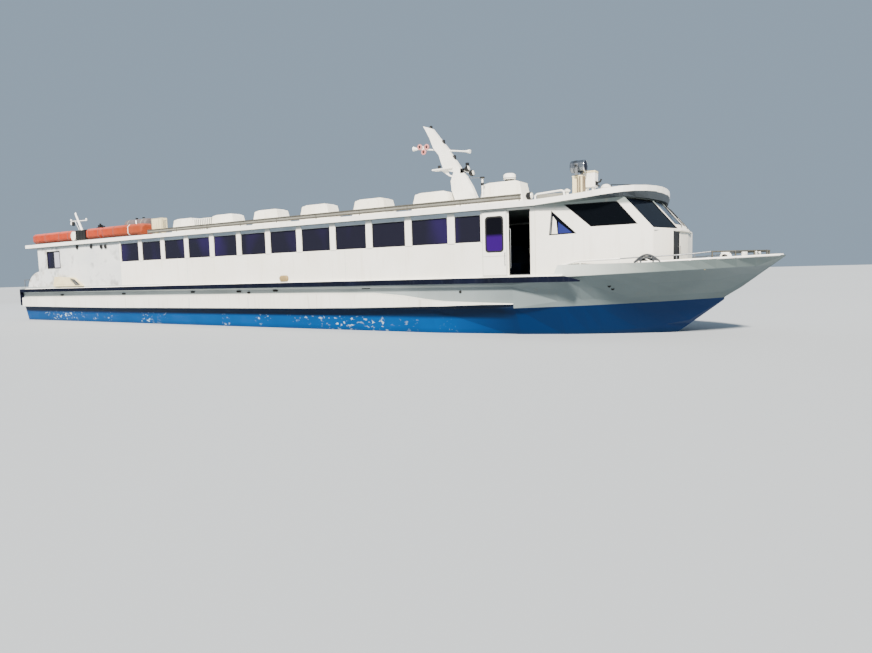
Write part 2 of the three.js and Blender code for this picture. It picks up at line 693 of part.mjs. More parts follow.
function screenCorners() {
  const corners = (plan, z) => mirroredPlan(plan).map(([x, y]) => new THREE.Vector3(x + 1, y, z));
  const sill = corners(SCREEN_PLAN, SCREEN.sillZ);
  const head = corners(screenHead(SCREEN_PLAN), SCREEN.headZ);
  return { sill, head };
}

// A flat slab on one raked bay of the windscreen, between the margins, thick from t0 to t1 inwards
function bayBlock(bay, margin, t0, t1) {
  const { sill, head } = screenCorners();
  const [a, b, c, d] = [sill[bay], sill[bay + 1], head[bay + 1], head[bay]];
  const across = b.clone().sub(a).normalize();
  const out = across.clone().cross(d.clone().sub(a)).normalize();
  const up = out.clone().cross(across).normalize();
  const along = (p) => [p.clone().sub(a).dot(across), p.clone().sub(a).dot(up)];
  const lean = along(d)[0] / along(d)[1];
  const height = along(d)[1];
  const [left, right] = [margin.side, along(b)[0] - margin.side];
  const shear = (v) => lean * v;
  const leanRight = (along(c)[0] - along(b)[0]) / height;
  const outline = [[left + shear(margin.sill), margin.sill], [right + leanRight * margin.sill, margin.sill],
    [right + leanRight * (height - margin.head), height - margin.head],
    [left + shear(height - margin.head), height - margin.head]];
  const slab = extrude(flatShape(outline), t1 - t0).translate(0, 0, -t1);
  const basis = new THREE.Matrix4().makeBasis(across, up, out).setPosition(a);
  return slab.applyMatrix4(basis);
}

const BAY_MARGIN = { sill: 40, frontSill: 215, head: 24, side: 40 };
const FRONT_BAYS = [1, 2];

// A raked shell of the windscreen between two depths in from its face and two heights from 0 to 1
function screenShell(outerInset, innerInset, low, high) {
  const { sill, head } = screenCorners();
  const ring = (t) => {
    const face = sill.map((point, i) => {
      const at = point.clone().lerp(head[i], t);
      return [at.x, at.y];
    });
    const z = mix(SCREEN.sillZ, SCREEN.headZ, t);
    const outer = insetPlan(face, outerInset);
    const inner = insetPlan(face, innerInset).reverse();
    return [...outer, ...inner].map(([x, y]) => [x, y, z]);
  };
  return loftUp([ring(low), ring(high)]);
}

function windscreenFrame() {
  const rebate = screenShell(GLASS.inset, WALL + 10, 0.018, 0.99);
  const openings = [0, 1, 2, 3].map((bay) => {
    const sill = FRONT_BAYS.includes(bay) ? BAY_MARGIN.frontSill : BAY_MARGIN.sill;
    return bayBlock(bay, { ...BAY_MARGIN, sill }, -40, 110);
  });
  return cut(screenShell(0, WALL, 0, 1), [rebate, ...openings, sideWallSpace(-1), sideWallSpace(1)]);
}

function windscreenGlass() {
  const shell = screenShell(GLASS.inset + FIT_GAP, GLASS.inset + GLASS.thickness, 0.024, 0.986);
  return cut(shell, [sideWallSpace(-1), sideWallSpace(1)]);
}

// A closed skin between two level rings
function loftUp(rings) {
  const turned = rings.map((ring) => ring.map(([x, y, z]) => [z, x, y]));
  const back = new THREE.Matrix4().makeBasis(
    new THREE.Vector3(0, 0, 1), new THREE.Vector3(1, 0, 0), new THREE.Vector3(0, 1, 0));
  return outwards(loft(turned).applyMatrix4(back));
}

// Roofs

const ROOF = {
  half: 2750, edgeBottomZ: 3690, edgeTopZ: 3850, crownZ: 3950, aftX: -16380, frontX: CABIN.frontX,
};

function roofRing(x, half, bottom, top, crown, underHalf) {
  return bothSides(x, [[underHalf, soffitZ(x)], [half, bottom], [half, top],
    [half * 0.5, mix(top, crown, 0.75)], [0.01, crown]]);
}

function roofMain() {
  const ring = (x) => roofRing(x, ROOF.half, ROOF.edgeBottomZ, ROOF.edgeTopZ, ROOF.crownZ, HALF_BEAM - 40);
  return loft([ring(ROOF.aftX), ring(ROOF.frontX)]);
}

const VISOR_STATIONS = [
  // x, half breadth, edge bottom, edge top, crown, underside half breadth
  [ROOF.frontX + FIT_GAP, 2750, 3690, 3850, 3950, 2560],
  [12300, 2750, 3742, 3887, 4015, 2510],
  [13000, 2740, 3787, 3937, 4105, 2420],
  [13400, 2690, 3830, 3985, 4170, 2370],
  [13800, 2520, 3872, 4027, 4185, 2400],
  [13900, 2430, 3885, 4040, 4186, 2310],
  [14100, 2090, 3920, 4075, 4185, 1850],
  [14300, 1500, 3962, 4117, 4180, 1260],
  [14410, 880, 3995, 4150, 4172, 640],
  [14460, 340, 4012, 4167, 4170, 250],
];

function wheelhouseRoof() {
  return loft(VISOR_STATIONS.map(([x, half, bottom, top, crown, underHalf]) => (
    roofRing(x, half, bottom, top, crown, underHalf))));
}

// The top of the wheelhouse roof over a point of the plan
function visorTopZ(x, y) {
  const i = VISOR_STATIONS.findIndex((row) => row[0] > x);
  const [aft, fore] = [VISOR_STATIONS[i - 1], VISOR_STATIONS[i]];
  const [half, top, crown] = [1, 3, 4].map((column) => (
    mix(aft[column], fore[column], (x - aft[0]) / (fore[0] - aft[0]))));
  return mix(crown, mix(top, crown, 0.75), Math.abs(y) / (half * 0.5));
}

const roofTopZ = (y) => {
  const t = Math.abs(y) / ROOF.half;
  const shoulder = mix(ROOF.edgeTopZ, ROOF.crownZ, 0.75);
  return t > 0.5 ? mix(shoulder, ROOF.edgeTopZ, (t - 0.5) * 2) : mix(ROOF.crownZ, shoulder, t * 2);
};

// Air conditioning units along the roof centreline

const UNIT = { length: 1650, width: 760, slope: 170 };
const UNITS = [
  // aft x, height
  [-7760, 780],
  [-5040, 780],
  [-2320, 780],
  [400, 780],
  [3120, 780],
  [5840, 780],
  [8560, 870],
];
const LOUVRE_BOX = { x: [-6200, -4920], y: 330, topZ: 4640 };

function roofUnit([x0, height]) {
  const x1 = x0 + UNIT.length;
  const half = UNIT.width / 2;
  const footZ = ROOF.crownZ + FIT_GAP;
  const topZ = footZ + height;
  const level = (inset, z) => [
    [x0 + inset, -half + inset * 0.4, z], [x1 - inset, -half + inset * 0.4, z],
    [x1 - inset, half - inset * 0.4, z], [x0 + inset, half - inset * 0.4, z]];
  return loftUp([level(0, footZ), level(UNIT.slope, topZ - 60), level(UNIT.slope + 180, topZ)]);
}

function roofUnits() {
  const footZ = ROOF.crownZ + FIT_GAP;
  const [firstX, lastX] = [UNITS[0][0], UNITS[UNITS.length - 1][0]];
  const rails = [-340, 340].map((y) => box(firstX + 50, lastX + 200, y - 25, y + 25, footZ, footZ + 50));
  const louvres = box(...LOUVRE_BOX.x, -LOUVRE_BOX.y, LOUVRE_BOX.y, footZ, LOUVRE_BOX.topZ);
  return join([...rails, louvres, ...UNITS.map(roofUnit)]);
}

// Buoyant floats, tank, boxes and rails on the roof

const FLOATS = [
  // name, aft x, front x
  ['float_aft', -16130, -12580],
  ['float_middle', -11250, -10040],
  ['float_forward', -10000, -6880],
];
const GEAR = { outY: -2490, inY: -1840 };
const CRADLE = { topZ: roofTopZ(GEAR.inY) + 14, bar: 60 };
const FLOAT_TOP_Z = 4400;

// A long float with chamfered edges and rounded ends
function lifeFloat(aftX, frontX) {
  const z0 = CRADLE.topZ + FIT_GAP;
  const ring = (x, inset) => {
    const [y0, y1, low, high] = [GEAR.outY + inset, GEAR.inY - inset, z0 + inset, FLOAT_TOP_Z - inset];
    const edge = 110;
    return [[x, y0, low + edge], [x, y0 + edge, low], [x, y1 - edge, low], [x, y1, low + edge],
      [x, y1, high - edge], [x, y1 - edge, high], [x, y0 + edge, high], [x, y0, high - edge]];
  };
  return loft([ring(aftX, 70), ring(aftX + 80, 0), ring(frontX - 80, 0), ring(frontX, 70)]);
}

function floatCradle() {
  const bars = [];
  const half = CRADLE.bar / 2;
  for (const x of [-15700, -14300, -12900, -12400, -11900, -11500, -10900, -10400, -9500, -8400, -7300]) {
    bars.push(box(x - half, x + half, GEAR.outY + 30, GEAR.inY, roofTopZ(GEAR.inY) + 1, CRADLE.topZ));
  }
  const rail = box(-15730, -7270, GEAR.outY + 40, GEAR.outY + 70, roofTopZ(GEAR.outY + 70) + 12, CRADLE.topZ);
  return join([rail, ...bars]);
}

// A crate forward of the canister, both between the floats
function roofCrate() {
  return box(-12100, -11300, GEAR.outY + 20, GEAR.inY, CRADLE.topZ + FIT_GAP, CRADLE.topZ + 460);
}

function raftCanister() {
  const [x, radius] = [-12345, 215];
  const z = CRADLE.topZ + FIT_GAP + radius;
  return rod([x, GEAR.outY + 20, z], [x, GEAR.inY, z], radius, 20);
}

const TANK = { x: [-9200, -7700], y: -1520, z: 4450, radius: 280 };

function waterTank() {
  return rod([TANK.x[0], TANK.y, TANK.z], [TANK.x[1], TANK.y, TANK.z], TANK.radius, 24);
}

const AC_BOX = { x: [-6110, -5410], y: [-2490, -2230], z: [4035, 4530] };

function acBox() {
  const [y0, y1] = [AC_BOX.y[0] + 20, AC_BOX.y[1] - 20];
  const feet = [AC_BOX.x[0] + 110, AC_BOX.x[1] - 110].map((x) => (
    box(x - 30, x + 30, y0, y1, roofTopZ(y1) + 1, AC_BOX.z[0] + 10)));
  return join([box(...AC_BOX.x, ...AC_BOX.y, ...AC_BOX.z), ...feet]);
}

function tankCradle() {
  const footZ = roofTopZ(TANK.y + 180) + 1;
  const saddles = [TANK.x[0] + 120, TANK.x[1] - 120].map((x) => (
    box(x - 40, x + 40, TANK.y - 200, TANK.y + 180, footZ, TANK.z - 150)));
  const tie = box(TANK.x[0] + 100, TANK.x[1] - 100, TANK.y - 40, TANK.y + 40, footZ, footZ + 30);
  return cut(join([tie, ...saddles]), [
    rod([TANK.x[0] - 50, TANK.y, TANK.z], [TANK.x[1] + 50, TANK.y, TANK.z], TANK.radius + 2, 24)]);
}

const ROOF_RAIL = { aftX: -6200, frontX: 11100, y: 2640, lowZ: 3925, highZ: 4035, radius: 27 };

function roofRail(side) {
  const { aftX, frontX: fore, y, lowZ, highZ, radius } = ROOF_RAIL;
  const bars = [lowZ, highZ].map((z) => rod([aftX, side * y, z], [fore, side * y, z], radius, 8));
  const posts = [];
  for (let i = 0; i <= 9; i += 1) {
    const x = mix(aftX + 50, fore - 50, i / 9);
    posts.push(rod([x, side * y, roofTopZ(y) + 4], [x, side * y, highZ], 16, 8));
  }
  return join([...bars, ...posts]);
}

// Mast, lamps and radar

const MAST_OUTLINE = [
  // x and z from the foot up the after edge and down the front edge
  [7560, ROOF.crownZ + 1], [7500, 4440], [7390, 4730], [7360, 5050], [7480, 5350], [7300, 5400], [7060, 5530],
  [6990, 5710], [6900, 5990], [6680, 6260], [6530, 6630], [6370, 6920], [6285, 7060], [6630, 6940],
  [6970, 6510], [7280, 6140], [7410, 5930], [7670, 5560], [7760, 5430], [7950, 5180], [8180, 4780],
  [8350, 4400], [8480, ROOF.crownZ + 1],
];

function mainMast() {
  const fin = sidePrism(MAST_OUTLINE, -90, 90);
  const arm = rod([5960, 0, 6325], [7980, 0, 6000], 26, 8);
  const horns = [
    rod([5990, 0, 6320], [5800, 0, 6350], 26, 12, 85),
    rod([7900, 0, 6013], [8100, 0, 5981], 26, 12, 70),
  ];
  const shelf = box(6640, 7450, -150, 150, 5480, 5515);
  const gusset = sidePrism([[6900, 5490], [7200, 5490], [7280, 5230], [7180, 5300]], -20, 20);
  const strut = rod([7230, 0, 5280], [7420, 0, 5200], 30, 8);
  return join([fin, arm, ...horns, shelf, gusset, strut]);
}

const AFT_MAST = { foot: [-15560, 0], top: [-16500, 0, 5620], radius: 85, topRadius: 45 };

function aftMast() {
  const [footX, footY] = AFT_MAST.foot;
  const footZ = ROOF.crownZ + FIT_GAP;
  const foot = box(footX - 160, footX + 160, footY - 150, footY + 150, footZ, footZ + 20);
  const leg = rod([footX, footY, footZ + 14], AFT_MAST.top, AFT_MAST.radius, 12, AFT_MAST.topRadius);
  const trimmed = cut(leg, [box(footX - 400, footX + 400, -300, 300, footZ - 200, footZ + 1)]);
  const yard = rod([-17010, 0, 5270], [-15470, 0, 5230], 24, 8);
  return join([foot, trimmed, yard]);
}

const RADAR = { x: 9550, radius: 205, neck: 130, z: [4895, 4925, 5040, 5085] };

function radarDome() {
  const footZ = ROOF.crownZ + UNITS[UNITS.length - 1][1] + 2 * FIT_GAP;
  const [neckZ, rimZ, shoulderZ, topZ] = RADAR.z;
  const profile = [[0, footZ], [RADAR.neck, footZ], [RADAR.neck, neckZ], [RADAR.radius - 20, neckZ],
    [RADAR.radius, rimZ], [RADAR.radius, shoulderZ], [RADAR.radius - 60, topZ], [0, topZ]];
  const lathe = new THREE.LatheGeometry(profile.map(([r, z]) => new THREE.Vector2(r, z)), 24);
  return toGeometry(toSolid(solidSkin(lathe.rotateX(Math.PI / 2)).translate(RADAR.x, 0, 0)));
}

function roofPost() {
  const [x, y] = [8860, -620];
  return rod([x, y, roofTopZ(y) + 2], [x, y, 4930], 30, 10);
}

// Searchlight on its pedestal

const LIGHT = { x: 11900, pedestalTopZ: 4770, pedestalHalf: 155, centreZ: 5056, radius: 190, length: 430 };

function searchlightPedestal() {
  const [aft, fore] = [LIGHT.x - LIGHT.pedestalHalf, LIGHT.x + LIGHT.pedestalHalf];
  return sidePrism([[aft, visorTopZ(aft, 0) + 1], [fore, visorTopZ(fore, 0) + 1],
    [fore, LIGHT.pedestalTopZ], [aft, LIGHT.pedestalTopZ]], -LIGHT.pedestalHalf, LIGHT.pedestalHalf);
}

function searchlightYoke() {
  const base = rod([LIGHT.x, 0, LIGHT.pedestalTopZ + 6], [LIGHT.x, 0, LIGHT.pedestalTopZ + 26], 150, 20);
  const plate = (y) => cut(
    box(LIGHT.x - 40, LIGHT.x + 40, y - 10, y + 10, LIGHT.pedestalTopZ + 10, LIGHT.centreZ + 60),
    [rod([LIGHT.x, y - 20, LIGHT.centreZ], [LIGHT.x, y + 20, LIGHT.centreZ], 24, 16)]);
  const bar = box(LIGHT.x - 40, LIGHT.x + 40, -260, 260, LIGHT.pedestalTopZ + 6, LIGHT.pedestalTopZ + 26);
  return join([base, bar, plate(-250), plate(250)]);
}

function searchlightDrum() {
  const drum = rod([LIGHT.x - LIGHT.length / 2, 0, LIGHT.centreZ],
    [LIGHT.x + LIGHT.length / 2, 0, LIGHT.centreZ], LIGHT.radius, 24);
  return join([drum, rod([LIGHT.x, -275, LIGHT.centreZ], [LIGHT.x, 275, LIGHT.centreZ], 18, 12)]);
}

// A locker on two legs, to port of the searchlight
function roofBox() {
  const [y0, y1] = [320, 640];
  const legs = [12000, 12220].map((x) => {
    const footZ = visorTopZ(x + 30, y0 + 60) + 4;
    return box(x - 30, x + 30, y0 + 60, y1 - 60, footZ, 4460);
  });
  return join([box(11920, 12300, y0, y1, 4450, 4940), ...legs]);
}

// Deck fittings

function sternRail() {
  const z = [DECK_Z + 4, 2100];
  const y = 2450;
  const x = [STERN_X + 90, -16850];
  const bars = [
    rod([x[0], -y, z[1]], [x[0], y, z[1]], 22, 8),
    rod([x[0], -y, z[1]], [x[1], -y, z[1]], 22, 8),
    rod([x[0], y, z[1]], [x[1], y, z[1]], 22, 8),
  ];
  const posts = [];
  for (const at of [[x[0], -y], [x[0], -y / 3], [x[0], y / 3], [x[0], y], [x[1], -y], [x[1], y]]) {
    posts.push(rod([...at, z[0]], [...at, z[1]], 22, 8));
  }
  return join([...bars, ...posts]);
}

function bowRail() {
  const z = 2255;
  const clearance = 85;
  const side = [15950, 16450, 16850, 17120].map((x) => (
    [x, clearance + BULWARK.footing - topsideBreadth(x, foredeckZ(x))]));
  const points = [...side, [17150, 0], ...side.map(([x, y]) => [x, -y]).reverse()];
  const bars = [];
  for (let i = 0; i + 1 < points.length; i += 1) {
    bars.push(rod([...points[i], z], [...points[i + 1], z], 20, 8));
  }
  const posts = points.map((point) => rod([...point, foredeckZ(point[0]) + 6], [...point, z], 20, 8));
  const knuckles = points.map((point) => rod([...point, z - 22], [...point, z + 22], 24, 8));
  return join([...bars, ...posts, ...knuckles]);
}

function bowBitts() {
  const x = 16550;
  const cross = rod([x, -260, 2170], [x, 260, 2170], 45, 12);
  const posts = [-160, 160].map((y) => rod([x, y, foredeckZ(x + 60) + 1], [x, y, 2270], 60, 12));
  return join([cross, ...posts]);
}

function ventCasing() {
  const outline = [[-14050, DECK_Z + 5], [-11450, DECK_Z + 5], [-12160, 2130], [-13850, 2200]];
  return sidePrism(outline, -HALF_BEAM - 110, -HALF_BEAM + 10);
}

// Inside the cabin and the wheelhouse

const SEATS = {
  firstX: -9500, pitch: 890, rows: 22, aisle: 420, outer: 2420,
  footZ: DECK_Z + 20, seatZ: 2150, backZ: 2780, depth: 520,
};

// Rows of seats on both sides of the aisle, on floor rails tied across under the carpet
function seatRows() {
  const rail = { z0: DECK_Z + 1, z1: DECK_Z + 30 };
  const lastX = SEATS.firstX + (SEATS.rows - 1) * SEATS.pitch;
  const parts = [-600, 600].map((y) => box(SEATS.firstX, lastX + 400, y - 50, y + 50, rail.z0, rail.z1));
  parts.push(box(SEATS.firstX, SEATS.firstX + 60, -600, 600, rail.z0, rail.z0 + 8));
  for (let i = 0; i < SEATS.rows; i += 1) {
    const x = SEATS.firstX + i * SEATS.pitch;
    const outline = [[x, SEATS.footZ], [x + SEATS.depth, SEATS.footZ], [x + SEATS.depth, SEATS.seatZ],
      [x + 90, SEATS.seatZ], [x - 60, SEATS.backZ], [x - 120, SEATS.backZ]];
    parts.push(sidePrism(outline, SEATS.aisle, SEATS.outer), sidePrism(outline, -SEATS.outer, -SEATS.aisle));
  }
  return join(parts);
}

function helmConsole() {
  const outline = [[14000, DECK_Z + 1], [14450, DECK_Z + 1], [14450, 2700], [14250, 2780], [13950, 2620]];
  return sidePrism(outline, -700, 700);
}

function helmSeat() {
  const post = rod([13350, 0, DECK_Z + 1], [13350, 0, 2280], 60, 12);
  const cushion = box(13100, 13600, -260, 260, 2270, 2380);
  const back = box(13050, 13150, -260, 260, 2300, 2900);
  return join([post, cushion, back]);
}

// Assembly

const SIDES = [['starboard', -1], ['port', 1]];

place('hull_lower', cut(join([hullLower(), keelSkeg()]), [...engineRoomCutters(),
  shaftBore(-1), shaftBore(1), rudderBore(-1), rudderBore(1)]), 'hullBlue');
place('hull_topsides', hullTopsides(), 'hullGrey');
place('rub_rail', rubRail(), 'navy');
place('aft_bulkhead', aftBulkhead(), 'white');
place('aft_door', aftDoor(), 'white');
place('engine_hatch', engineHatch(), 'hullGrey');
for (const [name, side] of SIDES) {
  place(`sponson_${name}`, sponson(side), 'white');
  place(`engine_${name}`, engine(side), 'engine');
  place(`propeller_${name}`, propeller(side), 'bronze');
  place(`shaft_strut_${name}`, shaftStrut(side), 'hullBlue');
  place(`rudder_${name}`, rudder(side), 'hullBlue');
  place(`cabin_wall_${name}`, cabinSide(side), 'white');
  place(`cabin_glass_${name}`, cabinGlass(side), 'darkGlass');
  place(`wheelhouse_wall_${name}`, wheelhouseSide(side), 'white');
  place(`wheelhouse_glass_${name}`, wheelhouseSideGlass(side), 'darkGlass');
  place(`roof_rail_${name}`, roofRail(side), 'steel');
}
place('side_door_starboard', sideDoor(-1, LEAF.openX), 'white');
place('side_door_port', sideDoor(1, LEAF.closedX), 'white');
place('side_door_pane_starboard', sideDoorPane(-1, LEAF.openX), 'darkGlass');
place('side_door_pane_port', sideDoorPane(1, LEAF.closedX), 'darkGlass');
place('wheelhouse_front', wheelhouseFrontLower(), 'white');
place('foredeck_door', foredeckDoor(), 'darkGlass');
place('windscreen_frame', windscreenFrame(), 'white');
place('windscreen_glass', windscreenGlass(), 'darkGlass');
place('roof_main', roofMain(), 'white');
place('roof_wheelhouse', wheelhouseRoof(), 'white');
place('roof_units', roofUnits(), 'white');
for (const [name, aftX, fore] of FLOATS) {
  place(name, lifeFloat(aftX, fore), 'orange');
}
place('float_cradle', floatCradle(), 'black');
place('roof_crate', roofCrate(), 'black');
place('roof_canister', raftCanister(), 'white');
place('roof_tank', waterTank(), 'steel');
place('roof_ac_box', acBox(), 'cream');
place('main_mast', mainMast(), 'white');
place('aft_mast', aftMast(), 'white');
place('radar_dome', radarDome(), 'white');
place('roof_post', roofPost(), 'white');
place('tank_cradle', tankCradle(), 'black');
place('searchlight_pedestal', searchlightPedestal(), 'cream');
place('searchlight_yoke', searchlightYoke(), 'steel');
place('searchlight_drum', searchlightDrum(), 'black');
place('roof_box', roofBox(), 'white');
place('stern_rail', sternRail(), 'steel');
place('bow_rail', bowRail(), 'white');
place('bow_bitts', bowBitts(), 'white');
place('seats', seatRows(), 'seat');
place('helm_console', helmConsole(), 'black');
place('helm_seat', helmSeat(), 'black');

export default ferry;
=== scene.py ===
import math

import bmesh
import bpy
from mathutils import Matrix, Vector


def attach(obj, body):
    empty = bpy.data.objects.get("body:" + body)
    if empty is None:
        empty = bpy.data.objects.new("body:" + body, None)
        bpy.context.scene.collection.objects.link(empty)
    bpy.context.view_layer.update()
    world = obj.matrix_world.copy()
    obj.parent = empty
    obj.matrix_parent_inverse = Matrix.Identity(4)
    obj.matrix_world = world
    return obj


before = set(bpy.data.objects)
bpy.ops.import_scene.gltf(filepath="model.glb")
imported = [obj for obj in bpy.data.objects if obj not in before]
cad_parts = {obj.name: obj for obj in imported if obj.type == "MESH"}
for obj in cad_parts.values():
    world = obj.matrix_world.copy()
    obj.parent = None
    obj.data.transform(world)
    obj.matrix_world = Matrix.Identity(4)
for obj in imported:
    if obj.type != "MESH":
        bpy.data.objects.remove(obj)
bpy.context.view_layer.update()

IMAGE_WIDTH_PX = 872
SIDES = ("starboard", "port")

# Camera at the photograph's place, in the boat's frame
EYE = (18.303, -19.015, 1.902)
YAW, PITCH, ROLL = 31.729, -4.952, -1.535
FOCAL_PX = 620.0
SENSOR_MM = 36.0


def set_camera():
    yaw, pitch, roll = (math.radians(v) for v in (YAW, PITCH, ROLL))
    ahead = Vector((-math.sin(yaw) * math.cos(pitch), math.cos(yaw) * math.cos(pitch), math.sin(pitch)))
    level = Vector((math.cos(yaw), math.sin(yaw), 0))
    over = level.cross(ahead)
    right = math.cos(roll) * level + math.sin(roll) * over
    up = -math.sin(roll) * level + math.cos(roll) * over
    camera = bpy.data.cameras.new("camera")
    camera.sensor_width = SENSOR_MM
    camera.lens = FOCAL_PX / IMAGE_WIDTH_PX * SENSOR_MM
    camera.clip_end = 400
    holder = bpy.data.objects.new("camera", camera)
    holder.matrix_world = Matrix.Translation(EYE) @ Matrix((right, up, -ahead)).transposed().to_4x4()
    bpy.context.scene.collection.objects.link(holder)
    bpy.context.scene.camera = holder


set_camera()


# Materials

# The kinds of node in the finishes, each with its settings
MIX = ("Mix", {"data_type": "RGBA"})
TIMES = ("Math", {"operation": "MULTIPLY"})
STEEP = ("Math", {"operation": "MULTIPLY", "use_clamp": True})
SLOPE = ("Math", {"operation": "MULTIPLY_ADD"})
MINUS = ("Math", {"operation": "SUBTRACT"})
DISTANCE = ("Math", {"operation": "ABSOLUTE"})
PLAIN_KINDS = ("MapRange", "TexNoise", "Mapping", "SeparateXYZ", "Bump", "TexCoord", "NewGeometry")
RAMP, NOISE, MAPPING, SPLIT, BUMP, PLACE, GEOMETRY = ((kind, {}) for kind in PLAIN_KINDS)
# Streaks are ten times as long as they are wide
DOWNWARD = (1, 1, 0.10)


def linear(hex_colour):
    parts = [int(hex_colour[i:i + 2], 16) / 255 for i in (1, 3, 5)]
    return tuple(c / 12.92 if c <= 0.04045 else ((c + 0.055) / 1.055) ** 2.4 for c in parts) + (1.0,)


def add(tree, kind, *sources):
    """A node whose open sockets are fed in order by numbers, hex colours, other nodes' outputs or None."""
    node = tree.nodes.new("ShaderNode" + kind[0])
    for name, value in kind[1].items():
        setattr(node, name, value)
    for socket, source in zip([socket for socket in node.inputs if socket.enabled], sources):
        if isinstance(source, bpy.types.NodeSocket):
            tree.links.new(source, socket)
        elif source is not None:
            socket.default_value = linear(source) if isinstance(source, str) else source
    return next(output for output in node.outputs if output.enabled)


def start_material(name, roughness, metallic=0.0, ior=1.5, gloss=0.5):
    """A material with its node tree, its shader's sockets and the place of each point, in metres."""
    material = bpy.data.materials.new(name)
    material.use_nodes = True
    tree = material.node_tree
    shader = tree.nodes["Principled BSDF"].inputs
    shader["Roughness"].default_value = roughness
    shader["Metallic"].default_value = metallic
    shader["Specular IOR Level"].default_value = gloss
    if metallic < 0.5:
        shader["IOR"].default_value = ior
    return material, tree, shader, add(tree, PLACE).node.outputs["Object"]


def spots(tree, place, size, low, high, detail=3.0, stretch=(1, 1, 1)):
    """A mask of patches of about the given size in metres, which rises between two levels of a noise."""
    moved = add(tree, MAPPING, place, None, None, stretch)
    return add(tree, RAMP, add(tree, NOISE, moved, 1 / size, detail), low, high)


def layer(tree, base, colour, *masks):
    """Lays a colour over another by a mask, thinned by each further mask or number."""
    mask = masks[0]
    for factor in masks[1:]:
        mask = add(tree, TIMES, mask, factor)
    return add(tree, MIX, mask, base, colour)


def below_line(tree, x, z, start, height, rise, sharp):
    """A mask of what is below a line that slopes along the boat, or above it where sharp is negative."""
    line = add(tree, SLOPE, add(tree, MINUS, x, start), rise, height)
    return add(tree, STEEP, add(tree, MINUS, line, z), sharp)


def surface(tree, shader, colour, height, strength, depth):
    """Gives a shader its colour, and a relief from a pattern of heights."""
    tree.links.new(colour, shader["Base Color"])
    tree.links.new(add(tree, BUMP, strength, depth, None, height), shader["Normal"])


VISOR_SHADE = "#30383f"


def shade_under(tree, place, finish, under_shade):
    """Painted shade on the undersides: a dull grey on faces that look down, darkest under the visor and its
    nose.
    """
    x, _, z = add(tree, SPLIT, place).node.outputs
    dull = layer(tree, under_shade, VISOR_SHADE, add(tree, RAMP, x, 12.2, 13.6))
    facing = add(tree, SPLIT, add(tree, GEOMETRY).node.outputs["True Normal"]).node.outputs["Z"]
    finish = layer(tree, finish, dull, add(tree, RAMP, facing, -0.05, -0.12))
    # Painted shade, darkest where the visor turns under at its nose, below an edge that rises 195 mm a metre
    nose_shade = below_line(tree, x, z, 13.8, 3.872, 0.195, 60.0)
    return layer(tree, finish, VISOR_SHADE, nose_shade, add(tree, RAMP, x, 13.70, 13.85))


def painted(name, fresh, worn, stain, roughness, patch, streak, grime, under_shade=None, gloss=0.5):
    """Brushed marine enamel: broad changes of shade, streaks that run down, and small stains."""
    material, tree, shader, place = start_material(name, roughness, gloss=gloss)
    broad = spots(tree, place, patch, 0.38, 0.68)
    finish = add(tree, MIX, broad, fresh, worn)
    finish = layer(tree, finish, stain, spots(tree, place, streak, 0.56, 0.80, 4.0, DOWNWARD), grime)
    # Painted shade on the undersides, when a colour for it is given
    if under_shade:
        finish = shade_under(tree, place, finish, under_shade)
    tree.links.new(add(tree, SLOPE, broad, 0.12, roughness), shader["Roughness"])
    # Brush marks and filler, some 60 mm wide, show as a soft ripple in the gloss
    surface(tree, shader, finish, add(tree, NOISE, place, 1 / 0.06, 2.0), 0.10, 0.004)
    return material


def cabin_paint():
    """White enamel on the saloon sides: greyer and rust-stained on the after panels, clean forward."""
    material, tree, shader, place = start_material("brushed_white_enamel", 0.40)
    x, _, z = add(tree, SPLIT, place).node.outputs
    base = add(tree, MIX, spots(tree, place, 1.8, 0.38, 0.68), "#f3f1e9", "#ebe8dd")
    aft = add(tree, RAMP, x, -8.40, -8.44)
    washed = add(tree, MIX, spots(tree, place, 1.1, 0.35, 0.65), "#dfe1df", "#d2d6d6")
    base = layer(tree, base, washed, aft)
    # Scuffs and old filler, 0.1 to 0.6 m, on the after panels, and rust by the stern window
    base = layer(tree, base, "#7f8283", spots(tree, place, 0.60, 0.55, 0.70, 7.0), aft, 0.72)
    by_window = add(tree, RAMP, x, -12.8, -13.9)
    base = layer(tree, base, "#7c6a54", spots(tree, place, 0.35, 0.52, 0.74, 6.0), by_window, 0.80)
    # Painted shadow of the roof's overhang on the wall's top, and deepest under the visor
    eave_shadow = add(tree, RAMP, z, 3.565, 3.645)
    base = layer(tree, base, "#7d8686", eave_shadow, 0.75)
    base = layer(tree, base, "#7a8481", eave_shadow, add(tree, RAMP, x, 11.4, 12.2))
    # Dirt that splashes up from the ledge, and thin brown runs
    foot = add(tree, RAMP, z, 2.05, 1.74)
    base = layer(tree, base, "#8f8c84", spots(tree, place, 0.30, 0.45, 0.72, 5.0), foot, aft, 0.55)
    finish = layer(tree, base, "#b8a88c", spots(tree, place, 0.14, 0.56, 0.80, 4.0, DOWNWARD), 0.22)
    # Plates pulled in a little between the frames, 0.8 m apart
    surface(tree, shader, finish, add(tree, NOISE, place, 1 / 0.8, 3.0), 0.15, 0.010)
    return material


def float_shell():
    """Moulded float skin: lighter and pinker on top, deep orange on its sides and brown low down."""
    material, tree, shader, place = start_material("moulded_polyethylene", 0.60, ior=1.46, gloss=0.2)
    x, _, z = add(tree, SPLIT, place).node.outputs
    side = add(tree, MIX, spots(tree, place, 0.35, 0.35, 0.70), "#962f14", "#9c3f28")
    side = layer(tree, side, "#b5594c", add(tree, RAMP, z, 4.28, 4.39))
    side = layer(tree, side, "#5e2a1a", add(tree, RAMP, z, 4.10, 3.94), 0.75)
    # The forward float is the oldest, and has gone brown
    side = layer(tree, side, "#7c3d1e", add(tree, RAMP, x, -9.9, -8.0), 0.55)
    # The mould's grain, drawn 30 mm coarse so that it shows
    surface(tree, shader, side, add(tree, NOISE, place, 1 / 0.03, 3.0), 0.3, 0.003)
    return material


